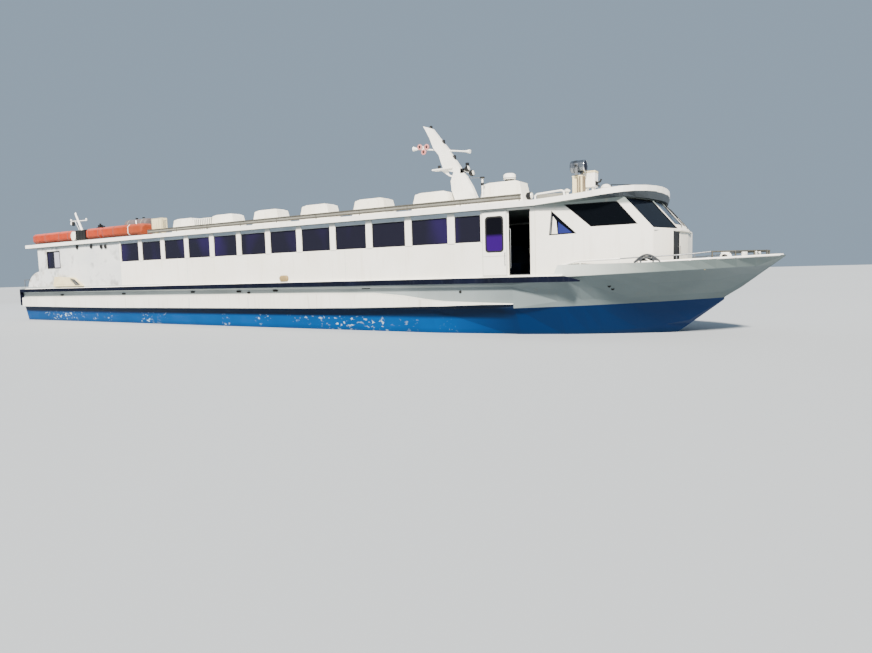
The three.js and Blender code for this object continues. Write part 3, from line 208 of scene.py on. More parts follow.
def windscreen():
    """Laminated glass: dark film on the corner bays, and clear and bluish on the two middle ones."""
    material, tree, shader, place = start_material("laminated_glass", 0.05, gloss=0.10)
    away = add(tree, DISTANCE, add(tree, SPLIT, place).node.outputs["Y"])
    film = add(tree, MIX, spots(tree, place, 0.8, 0.4, 0.7), "#05080f", "#070b14")
    clear = add(tree, MIX, spots(tree, place, 0.8, 0.4, 0.7), "#414e5e", "#36424f")
    tree.links.new(layer(tree, film, clear, add(tree, RAMP, away, 0.93, 0.89)), shader["Base Color"])
    shader["Alpha"].default_value = 0.985
    return material


def bottom_paint():
    """Blue enamel on steel: white filler shows in chips along the boot top, with painted shade on the flare
    forward and under the sponson, and darker just above the waterline.
    """
    material, tree, shader, place = start_material("chipped_blue_enamel", 0.45, gloss=0.10)
    x, _, z = add(tree, SPLIT, place).node.outputs
    base = add(tree, MIX, spots(tree, place, 1.8, 0.35, 0.70), "#00427e", "#003a70")
    # Painted shade: a darker blue on the flare forward, and a painted shadow in the band under the sponson
    base = layer(tree, base, "#00244e", add(tree, RAMP, x, 8.0, 10.6))
    base = layer(tree, base, "#011a36", add(tree, RAMP, z, 0.44, 0.54), add(tree, RAMP, x, 10.9, 10.3))
    # Chips of 20 to 80 mm in groups, where the hull has rubbed on piers, up to 0.5 m over the water
    chips = spots(tree, place, 0.09, 0.585, 0.64, 6.0, (0.55, 1, 1))
    groups = spots(tree, place, 1.5, 0.49, 0.58, 1.0)
    low, dry = add(tree, RAMP, z, 0.52, 0.40), add(tree, RAMP, z, -0.10, 0.05)
    base = layer(tree, base, "#9db4c4", chips, groups, low, dry, add(tree, RAMP, x, 9.5, 6.0))
    finish = layer(tree, base, "#02243c", add(tree, RAMP, z, 0.16, 0.02), 0.45)
    surface(tree, shader, finish, add(tree, NOISE, place, 1 / 0.35, 3.0), 0.22, 0.02)
    return material


def topside_paint():
    """Off-white enamel above the knuckle, and a pale grey under it that is painted shade, with brown weeps
    from the drains.
    """
    material, tree, shader, place = start_material("dulled_topside_enamel", 0.50, gloss=0.20)
    x, _, z = add(tree, SPLIT, place).node.outputs
    broad = spots(tree, place, 1.6, 0.35, 0.70)
    # The grey stands for the white paint in shade under the knuckle and the rubbing band
    grey, white, flare_shade = (add(tree, MIX, broad, *pair) for pair in (
        ("#929c9f", "#858f91"), ("#cdd3ce", "#c2c8c2"), ("#5f6b6d", "#566264")))
    # Painted shade: a darker grey on the flare forward, and the white of the bulwark darkening towards the
    # stem
    grey = layer(tree, grey, flare_shade, add(tree, RAMP, x, 6.0, 12.5))
    white = layer(tree, white, "#636f6e", add(tree, RAMP, x, 12.0, 14.9))
    # The knuckle rises 35 mm a metre forward of x 12
    over = below_line(tree, x, z, 12.0, 1.68, 0.035, -60.0)
    base = layer(tree, grey, white, over, add(tree, RAMP, x, 11.9, 11.95))
    # Blue paint runs up to the sponson's lower edge, darkened as a painted shadow
    below = below_line(tree, x, z, 5.7, 0.795, 0.0278, 120.0)
    base = layer(tree, base, "#01142c", below, add(tree, RAMP, x, 10.77, 10.75))
    finish = layer(tree, base, "#6f6858", spots(tree, place, 0.10, 0.58, 0.80, 4.0, (1, 1, 0.12)), 0.22)
    # Plates pulled in between the frames, 0.6 m apart
    surface(tree, shader, finish, add(tree, NOISE, place, 1 / 0.6, 2.0), 0.25, 0.02)
    return material


def tinted_glass(name, colour, streak, alpha, roughness=0.05, fade_z=None):
    """Window glass under dark film, which has gone purple in places, with near mirror gloss."""
    material, tree, shader, place = start_material(name, roughness, gloss=0.12)
    if fade_z:
        height = add(tree, SPLIT, place).node.outputs["Z"]
        purple = add(tree, RAMP, height, fade_z + 0.05, fade_z - 0.05)
    else:
        purple = spots(tree, place, 1.3, 0.52, 0.72, 1.0, (1, 1, 0.5))
    tree.links.new(add(tree, MIX, purple, colour, streak), shader["Base Color"])
    shader["Alpha"].default_value = alpha
    # Salt smears, 0.25 m across, dull the gloss
    smear = spots(tree, place, 0.25, 0.3, 0.8)
    tree.links.new(add(tree, SLOPE, smear, 0.08, roughness), shader["Roughness"])
    return material


def metal(name, colour, dull, roughness, grain):
    """Bare or galvanised metal: the zinc's dull flowers or the file marks, at their real size."""
    material, tree, shader, place = start_material(name, roughness, 1.0)
    flowers = spots(tree, place, grain, 0.35, 0.70, 4.0)
    tree.links.new(add(tree, SLOPE, flowers, 0.22, roughness), shader["Roughness"])
    surface(tree, shader, add(tree, MIX, flowers, colour, dull), flowers, 0.15, 0.001)
    return material


def plastic(name, colour, faded, roughness, grain=0.004, patch=0.5):
    """Moulded plastic or rubber: a fine leather-like grain and a patchy fade from the sun."""
    material, tree, shader, place = start_material(name, roughness, ior=1.46)
    base = add(tree, MIX, spots(tree, place, patch, 0.35, 0.70), colour, faded)
    surface(tree, shader, base, add(tree, NOISE, place, 1 / grain, 2.0), 0.25, 0.0006)
    return material


# Each finish, by what the real one is. An enamel has its fresh, worn and stain colours, its roughness, the
# sizes of its patches and streaks in metres, and how strong the streaks are.
PAINT = {
    "bottom": bottom_paint(),
    "topside": topside_paint(),
    "cabin": cabin_paint(),
    # A cooler white on the sponson, which shows scrapes
    "sponson": painted("scraped_enamel", "#e9e8e0", "#dddcd2", "#9a907c", 0.42, 1.2, 0.10, 0.45),
    # Chalky whites overhead: nearly clean on the roof and its gear, with painted shade under the roof shells,
    # and a little warmer on the units
    "shell": painted("chalky_enamel", "#f6f5f0", "#efeee6", "#b3a78e", 0.50, 1.0, 0.20, 0.30, "#66716f"),
    "roof": painted("sprayed_enamel", "#f6f5f0", "#ebeae2", "#b3a78e", 0.50, 0.6, 0.10, 0.30),
    "unit": painted("gelcoat", "#f4f2e8", "#e9e5d6", "#b9a988", 0.48, 0.8, 0.10, 0.30),
    # Stove enamel gone yellow, with brown stains, and darker still on the low cover
    "cream": painted("yellowed_stove_enamel", "#e4d8b0", "#d8ca9e", "#86683f", 0.45, 0.4, 0.05, 0.55),
    "beige": painted("stained_stove_enamel", "#8f7a50", "#806c46", "#5a4830", 0.60, 0.3, 0.05, 0.40),
    # Greys: blue-grey shade above the windows, deck paint dulled by feet, primer gone brown on the rails
    "header": painted("shaded_enamel", "#9aa8b4", "#8b99a5", "#5f6a70", 0.50, 1.0, 0.20, 0.30),
    "grey": painted("deck_enamel", "#7b8280", "#6c7270", "#4a4842", 0.62, 0.8, 0.10, 0.40),
    "strip": painted("weathered_primer", "#7f7e76", "#706f66", "#4a4438", 0.62, 0.5, 0.06, 0.45),
    # Navy rubbing band, matt from rubbing, with pale scrapes
    "fender": painted("scraped_navy_enamel", "#060a18", "#0b1022", "#34383f", 0.75, 0.7, 0.05, 0.30,
                      gloss=0.08),
    # Dark steel under worn paint, green machine enamel with oil runs, and red-brown tank primer
    "worn": painted("worn_steel_enamel", "#33373c", "#2a2e33", "#15161a", 0.60, 0.3, 0.04, 0.40),
    "engine": painted("engine_enamel", "#5d6b60", "#4d5a50", "#2c2a26", 0.50, 0.5, 0.06, 0.50),
    "tank": painted("tank_primer", "#5f5557", "#524849", "#463430", 0.60, 0.5, 0.08, 0.55),
    "stained": painted("stained_conduit", "#6f6450", "#5a4d3a", "#3a2e20", 0.60, 0.3, 0.04, 0.60),
    # Metals, from a dull grey oxide on the alloy rails to a bright, smooth chrome
    "alloy": metal("weathered_aluminium", "#77756c", "#605e57", 0.55, 0.05),
    "drum": metal("dulled_chrome", "#8b929b", "#666d76", 0.26, 0.06),
    "galvanised": metal("galvanised_steel", "#9a9da0", "#7c8083", 0.42, 0.03),
    "chrome": metal("chromed_steel", "#c9ccd0", "#b3b7bc", 0.14, 0.08),
    "bronze": metal("cast_bronze", "#8a6a3c", "#6a5230", 0.38, 0.02),
    # Glass: near black under film, milky in the slider, blue over the curtain and purple low in the doors
    "dark_glass": tinted_glass("dark_film_glass", "#191924", "#211a3c", 0.985),
    "screen_glass": tinted_glass("screen_film_glass", "#06080c", "#0a0c16", 0.975, 0.04),
    "pale_glass": tinted_glass("frosted_glass", "#a9aab8", "#9092a4", 1.0, 0.25),
    "blue_glass": tinted_glass("blue_film_glass", "#262c62", "#1f2556", 1.0, 0.12),
    "leaf_glass": tinted_glass("purple_film_glass", "#0a0a10", "#2c0858", 0.985, 0.05, 2.93),
    "windscreen": windscreen(),
    # Matt blacks: vulcanised rubber, door enamel with a coarser skin, and ABS
    "rubber": plastic("vulcanised_rubber", "#0b0c0d", "#131415", 0.70),
    "door": plastic("black_door_enamel", "#0d0d10", "#131317", 0.60, 0.010, 0.3),
    "black": plastic("black_abs", "#0a0b0c", "#111213", 0.55),
    # Moulded shells and lenses, faded where the sun reaches them, and soft white curtain cloth
    "orange": float_shell(),
    "seat_blue": plastic("moulded_polypropylene", "#1d3668", "#284476", 0.45),
    "curtain": plastic("curtain_cloth", "#e6e4dc", "#d2d0c8", 0.85, 0.002, 0.2),
    "lamp": plastic("moulded_acrylic", "#f4f2ea", "#e2ded0", 0.20, 0.02, 0.1),
    "red": plastic("faded_red_abs", "#b8706c", "#c48a86", 0.60, 0.006, 0.2),
    "yellow": plastic("yellow_glassfibre", "#e0c56a", "#d6c68c", 0.55, 0.006, 0.2),
}

# The solids of each finish. A ? stands for starboard and port.
CAD_FINISH = {
    "bottom": "hull_lower shaft_strut_? rudder_?",
    "topside": "hull_topsides",
    "grey": "engine_hatch",
    "sponson": "sponson_?",
    "fender": "rub_rail",
    "cabin": "aft_bulkhead aft_door cabin_wall_? wheelhouse_wall_? wheelhouse_front windscreen_frame "
             "side_door_?",
    "shell": "roof_main roof_wheelhouse",
    "roof": "main_mast aft_mast roof_post roof_canister bow_bitts radar_dome roof_box",
    "alloy": "roof_rail_? bow_rail",
    "tank": "roof_tank",
    "windscreen": "windscreen_glass",
    "unit": "roof_units",
    "cream": "roof_ac_box searchlight_pedestal",
    "galvanised": "tank_cradle float_cradle stern_rail searchlight_yoke",
    "bronze": "propeller_?",
    "engine": "engine_?",
    "orange": "float_aft float_middle float_forward",
    "black": "roof_crate helm_console helm_seat",
    "door": "foredeck_door",
    "drum": "searchlight_drum",
    "seat_blue": "seats",
    "dark_glass": "cabin_glass_?",
    "screen_glass": "wheelhouse_glass_?",
    "leaf_glass": "side_door_pane_?",
}


def finish_cad():
    for finish, names in CAD_FINISH.items():
        for name in sorted({n.replace("?", side) for n in names.split() for side in SIDES}):
            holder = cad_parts[name]
            if not holder.material_slots:
                holder.data.materials.append(PAINT[finish])
            for slot in holder.material_slots:
                slot.link = "OBJECT"
                slot.material = PAINT[finish]


finish_cad()


# Shapes in mesh code

def plane(origin, along, up):
    """A frame whose X runs along a wall, Y up it and Z out of it."""
    along = Vector(along).normalized()
    out = along.cross(Vector(up)).normalized()
    return Matrix.Translation(origin) @ Matrix((along, out.cross(along), out)).transposed().to_4x4()


def side_face(x, y, z):
    """A frame on a face that looks to starboard: X forward, Y up."""
    return plane((x, y, z), (1, 0, 0), (0, 0, 1))


def fore_face(x, y, z):
    """A frame on a face that looks forward: X to port, Y up."""
    return plane((x, y, z), (0, 1, 0), (0, 0, 1))


def aft_face(x, y, z):
    """A frame on a face that looks aft: X to starboard, Y up."""
    return plane((x, y, z), (0, -1, 0), (0, 0, 1))


def flat(x, y, z):
    """A frame on a level face."""
    return Matrix.Translation((x, y, z))


def blanks(count):
    return [bmesh.new() for _ in range(count)]


def oblong(x0, x1, y0, y1, width=0.0):
    """A rectangle's outline, moved in by a width."""
    x0, x1, y0, y1 = x0 + width, x1 - width, y0 + width, y1 - width
    return [(x0, y0), (x1, y0), (x1, y1), (x0, y1)]


def skin_in(mesh, rings, looped=False):
    """A closed skin through rings of like points, capped at its ends or joined end to end."""
    rows = [[mesh.verts.new(point) for point in ring] for ring in rings]
    pairs = list(zip(rows, rows[1:]))
    if looped:
        pairs.append((rows[-1], rows[0]))
    else:
        mesh.faces.new(rows[0])
        mesh.faces.new(rows[-1])
    for near, far in pairs:
        for i in range(len(near)):
            j = (i + 1) % len(near)
            mesh.faces.new((near[i], near[j], far[j], far[i]))


def slab_in(mesh, outline, place, low, high):
    skin_in(mesh, [[place @ Vector((u, v, t)) for u, v in outline] for t in (low, high)])


def ring_in(mesh, outer, inner, place, low, high):
    """A flat frame between two outlines of like points."""
    edges = ((outer, low), (outer, high), (inner, high), (inner, low))
    skin_in(mesh, [[place @ Vector((u, v, t)) for u, v in line] for line, t in edges], True)


def box_in(mesh, low, high, place=Matrix()):
    slab_in(mesh, oblong(low[0], high[0], low[1], high[1]), place, low[2], high[2])


def tube_in(mesh, points, radius, sides=10, looped=False):
    """A round bar along a line of points, with mitred corners."""
    points = [Vector(point) for point in points]
    count = len(points)
    across = None
    rings = []
    for i, point in enumerate(points):
        before = points[i - 1] if i or looped else point
        after = points[(i + 1) % count] if i + 1 < count or looped else point
        into = (point - before).normalized()
        away = (after - point).normalized()
        along = (into + away).normalized()
        side = across or along.orthogonal()
        across = (side - side.dot(along) * along).normalized()
        over = along.cross(across)
        turns = [2 * math.pi * k / sides for k in range(sides)]
        rings.append([point + radius * (math.cos(a) * across + math.sin(a) * over) for a in turns])
    skin_in(mesh, rings, looped)


# A trim's back stands half a millimetre off the face that it is on
GAP = 0.0005


def staple_in(mesh, place, foot, end, reach, radius):
    """A bar that stands out from a face, runs along it and goes back in, as a handle or a step does."""
    rows = ((*foot, 0.001), (*foot, reach), (*end, reach), (*end, 0.001))
    tube_in(mesh, [place @ Vector(row) for row in rows], radius, 8)


def turned_in(mesh, profile, place, sides=24, looped=False):
    """A turned shape about the frame's Z, from rows of radius and height."""
    turns = [2 * math.pi * k / sides for k in range(sides)]
    skin_in(mesh, [[place @ Vector((r * math.cos(a), r * math.sin(a), h)) for a in turns]
                   for r, h in profile], looped)


def hoop_in(mesh, inner, outer, low, high, place, sides):
    """A flat hoop about the frame's Z."""
    turned_in(mesh, [(inner, low), (outer, low), (outer, high), (inner, high)], place, sides, True)


def rounded(x0, x1, z0, z1, radius, steps=4):
    """A rectangle's outline with round corners, counterclockwise."""
    points = []
    corners = ((x1, z1, -1, -1, 0), (x0, z1, 1, -1, 90), (x0, z0, 1, 1, 180), (x1, z0, -1, 1, 270))
    for x, z, across, up, start in corners:
        for i in range(steps + 1):
            a = math.radians(start + 90 * i / steps)
            points.append((x + radius * (across + math.cos(a)), z + radius * (up + math.sin(a))))
    return points


def frame_in(mesh, box, width, radii, place, low, high, steps=4):
    """A flat frame of even width with round corners, inwards from a box of x0, x1, z0 and z1."""
    x0, x1, z0, z1 = box
    inner = rounded(x0 + width, x1 - width, z0 + width, z1 - width, radii[1], steps)
    ring_in(mesh, rounded(*box, radii[0], steps), inner, place, low, high)


def inset(outline, amount):
    """A counterclockwise outline of straight edges, moved in by an amount."""
    count = len(outline)
    moved = []
    for i in range(count):
        before, here, after = (Vector(outline[(i + k) % count]) for k in (-1, 0, 1))
        first, second = (here - before).normalized(), (after - here).normalized()
        turn = Vector((-first.y - second.y, first.x + second.x)).normalized()
        moved.append(here + turn * amount / turn.dot(Vector((-first.y, first.x))))
    return moved


SHARP_ANGLE, BEVEL_ANGLE = math.radians(40), math.radians(35)


def piece(name, mesh, finish, body="hull", bevel=0.0):
    """Makes one piece from a mesh, in its finish, and rides it on its body."""
    bmesh.ops.recalc_face_normals(mesh, faces=mesh.faces)
    data = bpy.data.meshes.new(name)
    mesh.to_mesh(data)
    mesh.free()
    data.materials.append(PAINT[finish])
    data.shade_smooth()
    data.set_sharp_from_angle(angle=SHARP_ANGLE)
    holder = bpy.data.objects.new(name, data)
    bpy.context.scene.collection.objects.link(holder)
    if bevel:
        edges = holder.modifiers.new("edges", "BEVEL")
        edges.width = bevel
        edges.segments = 2
        edges.angle_limit = BEVEL_ANGLE
    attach(holder, body)


def mirrored(mesh):
    other = mesh.copy()
    for vertex in other.verts:
        vertex.co.y = -vertex.co.y
    return other


def both(name, mesh, finish, bevel=0.0):
    """A starboard piece and its port mirror."""
    other = mirrored(mesh)
    piece(f"{name}_starboard", mesh, finish, bevel=bevel)
    piece(f"{name}_port", other, finish, bevel=bevel)


# Saloon sides

SIDE = side_face(0, -2.6, 0)
FIRST_WINDOW_X, WINDOW_PITCH, WINDOW_WIDTH, LAST_WINDOW_WIDTH = -8.283, 1.563, 1.311, 0.88
WINDOW_WIDTHS = [WINDOW_WIDTH] * 11 + [LAST_WINDOW_WIDTH]
WINDOW_STARTS = [FIRST_WINDOW_X + WINDOW_PITCH * i for i in range(12)]
WINDOWS = [(x, x + width) for x, width in zip(WINDOW_STARTS, WINDOW_WIDTHS)]
SILL_Z, HEAD_Z, EAVE_Z = 2.77, 3.56, 3.678
# Just outside the glass, which is set back from the wall's face
GLASS_FACE = -0.0215
DECK_Z = 1.72
STERN_WINDOW = (-14.64, -13.42, 2.61, 3.47)


def rail_top(x):
    """The rubbing band's top, which rises 3.5 mm a metre."""
    return 1.678 + 0.0035 * x


def window_trim():
    """The rubbers, the shaded strips over the panes and the bars between them."""
    gaskets, bars, headers = blanks(3)
    for x0, x1 in WINDOWS:
        opening = (x0 + 0.001, x1 - 0.001, SILL_Z + 0.001, HEAD_Z - 0.001)
        frame_in(gaskets, opening, 0.017, (0.02, 0.03), SIDE, GLASS_FACE, -0.004)
        header = rounded(x0 + 0.002, x1 - 0.002, HEAD_Z + 0.004, EAVE_Z - 0.001, 0.006, 1)
        slab_in(headers, header, SIDE, GAP, 0.005)
    edges = [(-8.40, FIRST_WINDOW_X)] + [(a[1], b[0]) for a, b in zip(WINDOWS, WINDOWS[1:])] + [(9.79, 9.836)]
    for x0, x1 in edges:
        slab_in(bars, rounded(x0 + 0.004, x1 - 0.004, SILL_Z - 0.012, EAVE_Z, 0.006, 1), SIDE, GAP, 0.022)
    both("window_gaskets", gaskets, "rubber")
    both("window_headers", headers, "header")
    both("window_bars", bars, "cabin", bevel=0.003)


def wall_lip():
    """The welded ledge on the rubbing band, which throws the rain clear of the side."""
    mesh = bmesh.new()
    rings = []
    for x in (-16.9, -8.0, 0.0, 8.0, 12.3):
        z = rail_top(x)
        rings.append([(x, -2.6005, z + 0.002), (x, -2.702, z + 0.002), (x, -2.702, z + 0.010),
                      (x, -2.6005, z + 0.044)])
    skin_in(mesh, rings)
    both("wall_lip", mesh, "roof")


# Each flap's place along the side, its height and its half length
SCUPPERS = ((-13.66, 1.30, 0.13), (-8.45, 1.33, 0.12), (-3.62, 1.38, 0.12), (-0.85, 1.38, 0.12),
            (-0.30, 1.33, 0.07), (1.13, 1.40, 0.12), (5.38, 1.455, 0.17))
# Welded butts in the sponson by their x, and in the cabin side by their x, foot and head
BUTTS = (-3.61, -0.13)
CABIN_BUTTS = ((-8.42, 1.73, 3.66), (-3.76, 1.73, 2.75), (4.6, 1.73, 2.75))
COVER_X, COVER_Z = 1.71, 1.842


def side_fittings():
    """Scupper flaps, welded butts and the blank cover."""
    flaps, seams, patch = blanks(3)
    under_rail = side_face(0, -2.5, 0)
    for x, z, half in SCUPPERS:
        rim = (x - half, x + half, z - 0.035, z + 0.035)
        frame_in(flaps, rim, 0.02, (0.03, 0.012), under_rail, GAP, 0.03)
        flap = rounded(x - half + 0.02, x + half - 0.02, z - 0.015, z + 0.015, 0.012)
        slab_in(flaps, flap, under_rail, GAP, 0.008)
    outer = side_face(0, -2.72, 0)
    for x in BUTTS:
        slab_in(seams, rounded(x - 0.008, x + 0.008, 0.77, 1.17, 0.004, 1), outer, 0.0004, 0.003)
    for x, z0, z1 in CABIN_BUTTS:
        slab_in(seams, rounded(x - 0.003, x + 0.003, z0, z1, 0.002, 1), SIDE, 0.0004, 0.003)
    # The blank cover is wider than tall and domed, and stands on the ledge
    rings = []
    for grow, out in ((0.0, GAP), (0.0, 0.035), (0.020, 0.062), (0.045, 0.078), (0.080, 0.086)):
        half, tall = 0.215 - grow, 0.112 - grow
        outline = rounded(COVER_X - half, COVER_X + half, COVER_Z - tall, COVER_Z + tall, tall * 0.95, 5)
        rings.append([SIDE @ Vector((u, v, out)) for u, v in outline])
    skin_in(patch, rings)
    both("scupper_flaps", flaps, "rubber", bevel=0.003)
    both("plate_seams", seams, "header")
    both("blank_cover", patch, "beige")


def vent_casing():
    """The casing over the engine room air intake, with its louvres down the forward slope."""
    outline = inset([(-14.05, 1.727), (-11.45, 1.727), (-12.16, 2.13), (-13.85, 2.20)], -0.004)
    cover, slats, rungs = blanks(3)
    face = side_face(0, -2.71, 0)
    slab_in(cover, outline, face, -0.1095, 0.004)
    slab_in(cover, inset(outline, 0.10), face, 0.003, 0.012)
    # Five deep rungs on a dark bed, along the slope's own edge
    slab_in(slats, [(-12.46, 2.10), (-12.06, 2.05), (-11.60, 1.79), (-12.02, 1.79)], face, 0.0125, 0.015)
    for i in range(5):
        z = 2.055 - 0.060 * i
        x = -12.10 + 0.105 * i
        box_in(rungs, (x - 0.33, z - 0.040, 0.0155), (x - 0.03, z - 0.016, 0.030), face)
    both("vent_casing", cover, "cream", bevel=0.006)
    both("vent_bed", slats, "worn")
    both("vent_louvres", rungs, "strip", bevel=0.002)


def round_vents():
    """Round hooded vents high on the after wall."""
    mesh = bmesh.new()
    for x, z in ((-11.8, 3.57), (-10.61, 3.55), (-9.78, 3.50), (-9.45, 3.50)):
        at = side_face(x, -2.6, z)
        turned_in(mesh, [(0.070, GAP), (0.070, 0.025), (0.098, 0.030), (0.098, 0.042), (0.06, 0.062),
                         (0.02, 0.066)], at, 20)
    both("round_vents", mesh, "rubber")


def stern_window():
    """The sliding window's frame, its meeting stile and its milky forward half."""
    frame_bar, pale = blanks(2)
    x0, x1, z0, z1 = STERN_WINDOW
    opening = (x0 + 0.001, x1 - 0.001, z0 + 0.001, z1 - 0.001)
    frame_in(frame_bar, opening, 0.049, (0.05, 0.04), SIDE, GLASS_FACE, 0.008)
    slab_in(frame_bar, rounded(-14.03, -13.97, z0 + 0.05, z1 - 0.05, 0.004, 1), SIDE, GLASS_FACE, -0.002)
    slab_in(pale, rounded(-13.97, x1 - 0.05, z0 + 0.05, z1 - 0.05, 0.02), SIDE, GLASS_FACE, -0.014)
    both("stern_window_frame", frame_bar, "rubber", bevel=0.003)
    both("stern_window_slider", pale, "pale_glass")


def doorway():
    """The seal round the side doorway, its sill with nine tread bars, and the grab bar inside."""
    seal, steel = blanks(2)
    frame_in(seal, (10.691, 11.349, 1.771, 3.619), 0.014, (0.01, 0.01), SIDE, -0.058, -0.002, 1)
    box_in(steel, (10.71, -2.595, 1.786), (11.33, -2.545, 1.792))
    for i in range(9):
        box_in(steel, (10.74 + 0.065 * i, -2.59, 1.7915), (10.775 + 0.065 * i, -2.55, 1.796))
    bar = ((10.706, 1.98), (10.73, 2.0), (10.73, 3.08), (10.706, 3.1))
    tube_in(steel, [(x, -2.57, z) for x, z in bar], 0.011)
    both("doorway_seal", seal, "rubber")
    both("doorway_steel", steel, "galvanised")


def door_leaf_trim(side, aft_x):
    """The rounded rubber round a leaf's pane, its seams and its grip, with its after edge at aft_x."""
    gasket, seam, grip = blanks(3)
    face = side_face(aft_x, -2.648, 0)
    frame_in(gasket, (0.102, 0.698, 2.442, 3.488), 0.046, (0.115, 0.085), face, -0.0075, 0.002, 6)
    frame_in(seam, (0.012, 0.788, 1.78, 3.63), 0.008, (0.02, 0.02), face, 0.0004, 0.0022)
    slab_in(seam, rounded(0.02, 0.78, 2.330, 2.337, 0.003, 1), face, 0.0004, 0.0022)
    rows = ((2.08, 0.001), (2.08, 0.030), (2.10, 0.038), (2.40, 0.038), (2.42, 0.030), (2.42, 0.001))
    tube_in(grip, [face @ Vector((0.745, z, out)) for z, out in rows], 0.011, 8)
    trims = (("gasket", gasket, "rubber"), ("seam", seam, "grey"), ("grip", grip, "chrome"))
    for part, mesh, finish in trims:
        if side == "port":
            mesh = mirrored(mesh)
        piece(f"side_door_{part}_{side}", mesh, finish, f"side_door_{side}")


# Wheelhouse

WHEEL_SIDE = plane((11.509, -2.6, 0), (3.121, 0.4, 0), (0, 0, 1))
TRIANGLE_LIGHT = [(0.384, 2.850), (1.150, 2.870), (0.455, 3.530)]
SIDE_LIGHT = [(1.533, 3.030), (2.750, 3.040), (2.222, 3.668), (0.809, 3.668)]
# The windscreen's sill seen from above, from the starboard corner to the centreline, and its sill and head
SCREEN_PLAN = [(14.63, -2.2), (15.03, -0.87), (15.09, 0)]
SCREEN_Z = (2.900, 3.775)
# The head is a little wider than the sill, and leans aft of it
HEAD_SPREAD = 1.04393
HEAD_SHIFT = -0.754


def wheelhouse_side_trim():
    """The rubbers of both lights, and in the three-cornered one a frame bar, a curtain and blue glass."""
    gaskets = bmesh.new()
    for light in (TRIANGLE_LIGHT, SIDE_LIGHT):
        ring_in(gaskets, inset(light, 0.001), inset(light, 0.018), WHEEL_SIDE, GLASS_FACE, -0.003)
    both("wheelhouse_gaskets", gaskets, "rubber")
    curtain = [(0.455, 2.885), (0.620, 2.890), (0.590, 3.245), (0.500, 3.375)]
    blue = [(0.640, 2.892), (1.020, 2.900), (0.640, 3.215)]
    frame_bar = [(0.402, 2.880), (0.432, 2.881), (0.470, 3.43), (0.458, 3.46)]
    panes = (("curtain", curtain, -0.018, "curtain"), ("blue", blue, -0.019, "blue_glass"),
             ("frame", frame_bar, -0.010, "galvanised"))
    for name, outline, front, finish in panes:
        pane = bmesh.new()
        slab_in(pane, outline, WHEEL_SIDE, GLASS_FACE, front)
        both(f"triangle_{name}", pane, finish)


def screen_bays():
    """The four raked bays of the windscreen: a frame on each, with its width, lean and height."""
    sill = SCREEN_PLAN + [(x, -y) for x, y in SCREEN_PLAN[-2::-1]]
    corner = SCREEN_PLAN[0][0]
    head = [(corner + (x - corner) * HEAD_SPREAD + HEAD_SHIFT, y * HEAD_SPREAD) for x, y in sill]
    bays = []
    for i in range(4):
        a, b = (Vector((sill[i + k][0] + 0.001, sill[i + k][1], SCREEN_Z[0])) for k in (0, 1))
        d, c = (Vector((head[i + k][0] + 0.001, head[i + k][1], SCREEN_Z[1])) for k in (0, 1))
        place = plane(a, b - a, d - a)
        lying = place.inverted()
        bays.append((place, [(lying @ p).xy for p in (a, b, c, d)]))
    return bays


def screen_trim():
    """A rubber in each bay, and a bent wiper arm with its blade on the two middle ones."""
    gaskets, wipers = blanks(2)
    for i, (place, (a, b, c, d)) in enumerate(screen_bays()):
        low, high = (0.215 if i in (1, 2) else 0.040), d.y - 0.024
        left = [(d.x * v / d.y + 0.040, v) for v in (low, high)]
        right = [(b.x + (c.x - b.x) * v / d.y - 0.040, v) for v in (low, high)]
        outline = [left[0], right[0], right[1], left[1]]
        ring_in(gaskets, inset(outline, 0.001), inset(outline, 0.020), place, -0.0205, -0.004)
        if i in (1, 2):
            foot = Vector((b.x / 2, 0.10, 0.0))
            tip = Vector((b.x / 2 + 0.22, high - 0.22, 0.018))
            knee = Vector((b.x / 2 + 0.02, 0.14, 0.030))
            tube_in(wipers, [place @ p for p in (foot, knee, tip)], 0.009, 8)
            blade = [Vector((tip.x - 0.10 + 0.01 * k, tip.y - 0.36 + 0.12 * k, 0.008)) for k in range(6)]
            tube_in(wipers, [place @ p for p in blade], 0.008, 6)
    piece("screen_gaskets", gaskets, "rubber")
    piece("screen_wipers", wipers, "black")


FRONT = plane((14.965, -1.5, 0), (0.125, 1.5, 0), (0, 0, 1))


def front_trim():
    """The foredeck door's frame, and the raised edge and the grip on its leaf."""
    frame_bar, leaf, grip = blanks(3)
    ring_in(frame_bar, rounded(0.002, 0.710, 1.790, 2.866, 0.03), rounded(0.038, 0.674, 1.818, 2.852, 0.01),
            FRONT, 0.0008, 0.008)
    ring_in(leaf, rounded(0.100, 0.613, 1.850, 2.818, 0.02), rounded(0.150, 0.563, 1.91, 2.76, 0.05),
            FRONT, 0.0004, 0.006)
    points = [(0.575, 2.25, 0.006), (0.575, 2.25, 0.040), (0.575, 2.45, 0.040), (0.575, 2.45, 0.006)]
    tube_in(grip, [FRONT @ Vector(point) for point in points], 0.010, 8)
    piece("foredeck_door_frame", frame_bar, "roof", bevel=0.003)
    piece("foredeck_door_edge", leaf, "black", "foredeck_door")
    piece("foredeck_door_grip", grip, "chrome", "foredeck_door")


def helm():
    """The wheel and the screens on the console, which show through the side lights."""
    wheel, screens = blanks(2)
    hub = plane((13.93, 0, 2.60), (0, 1, 0), (0.35, 0, 1))
    turns = [2 * math.pi * k / 28 for k in range(28)]
    rim = [Vector((0.27 * math.cos(a), 0.27 * math.sin(a), -0.10)) for a in turns]
    tube_in(wheel, [hub @ point for point in rim], 0.016, 8, True)
    for a in turns[::7]:
        spoke = (Vector((0, 0, -0.09)), Vector((0.26 * math.cos(a), 0.26 * math.sin(a), -0.10)))
        tube_in(wheel, [hub @ point for point in spoke], 0.010, 6)
    for y in (-0.5, 0.5):
        box_in(screens, (14.02, y - 0.16, 2.66), (14.06, y + 0.16, 2.88))
    piece("helm_wheel", wheel, "black")
    piece("helm_screens", screens, "black", bevel=0.01)


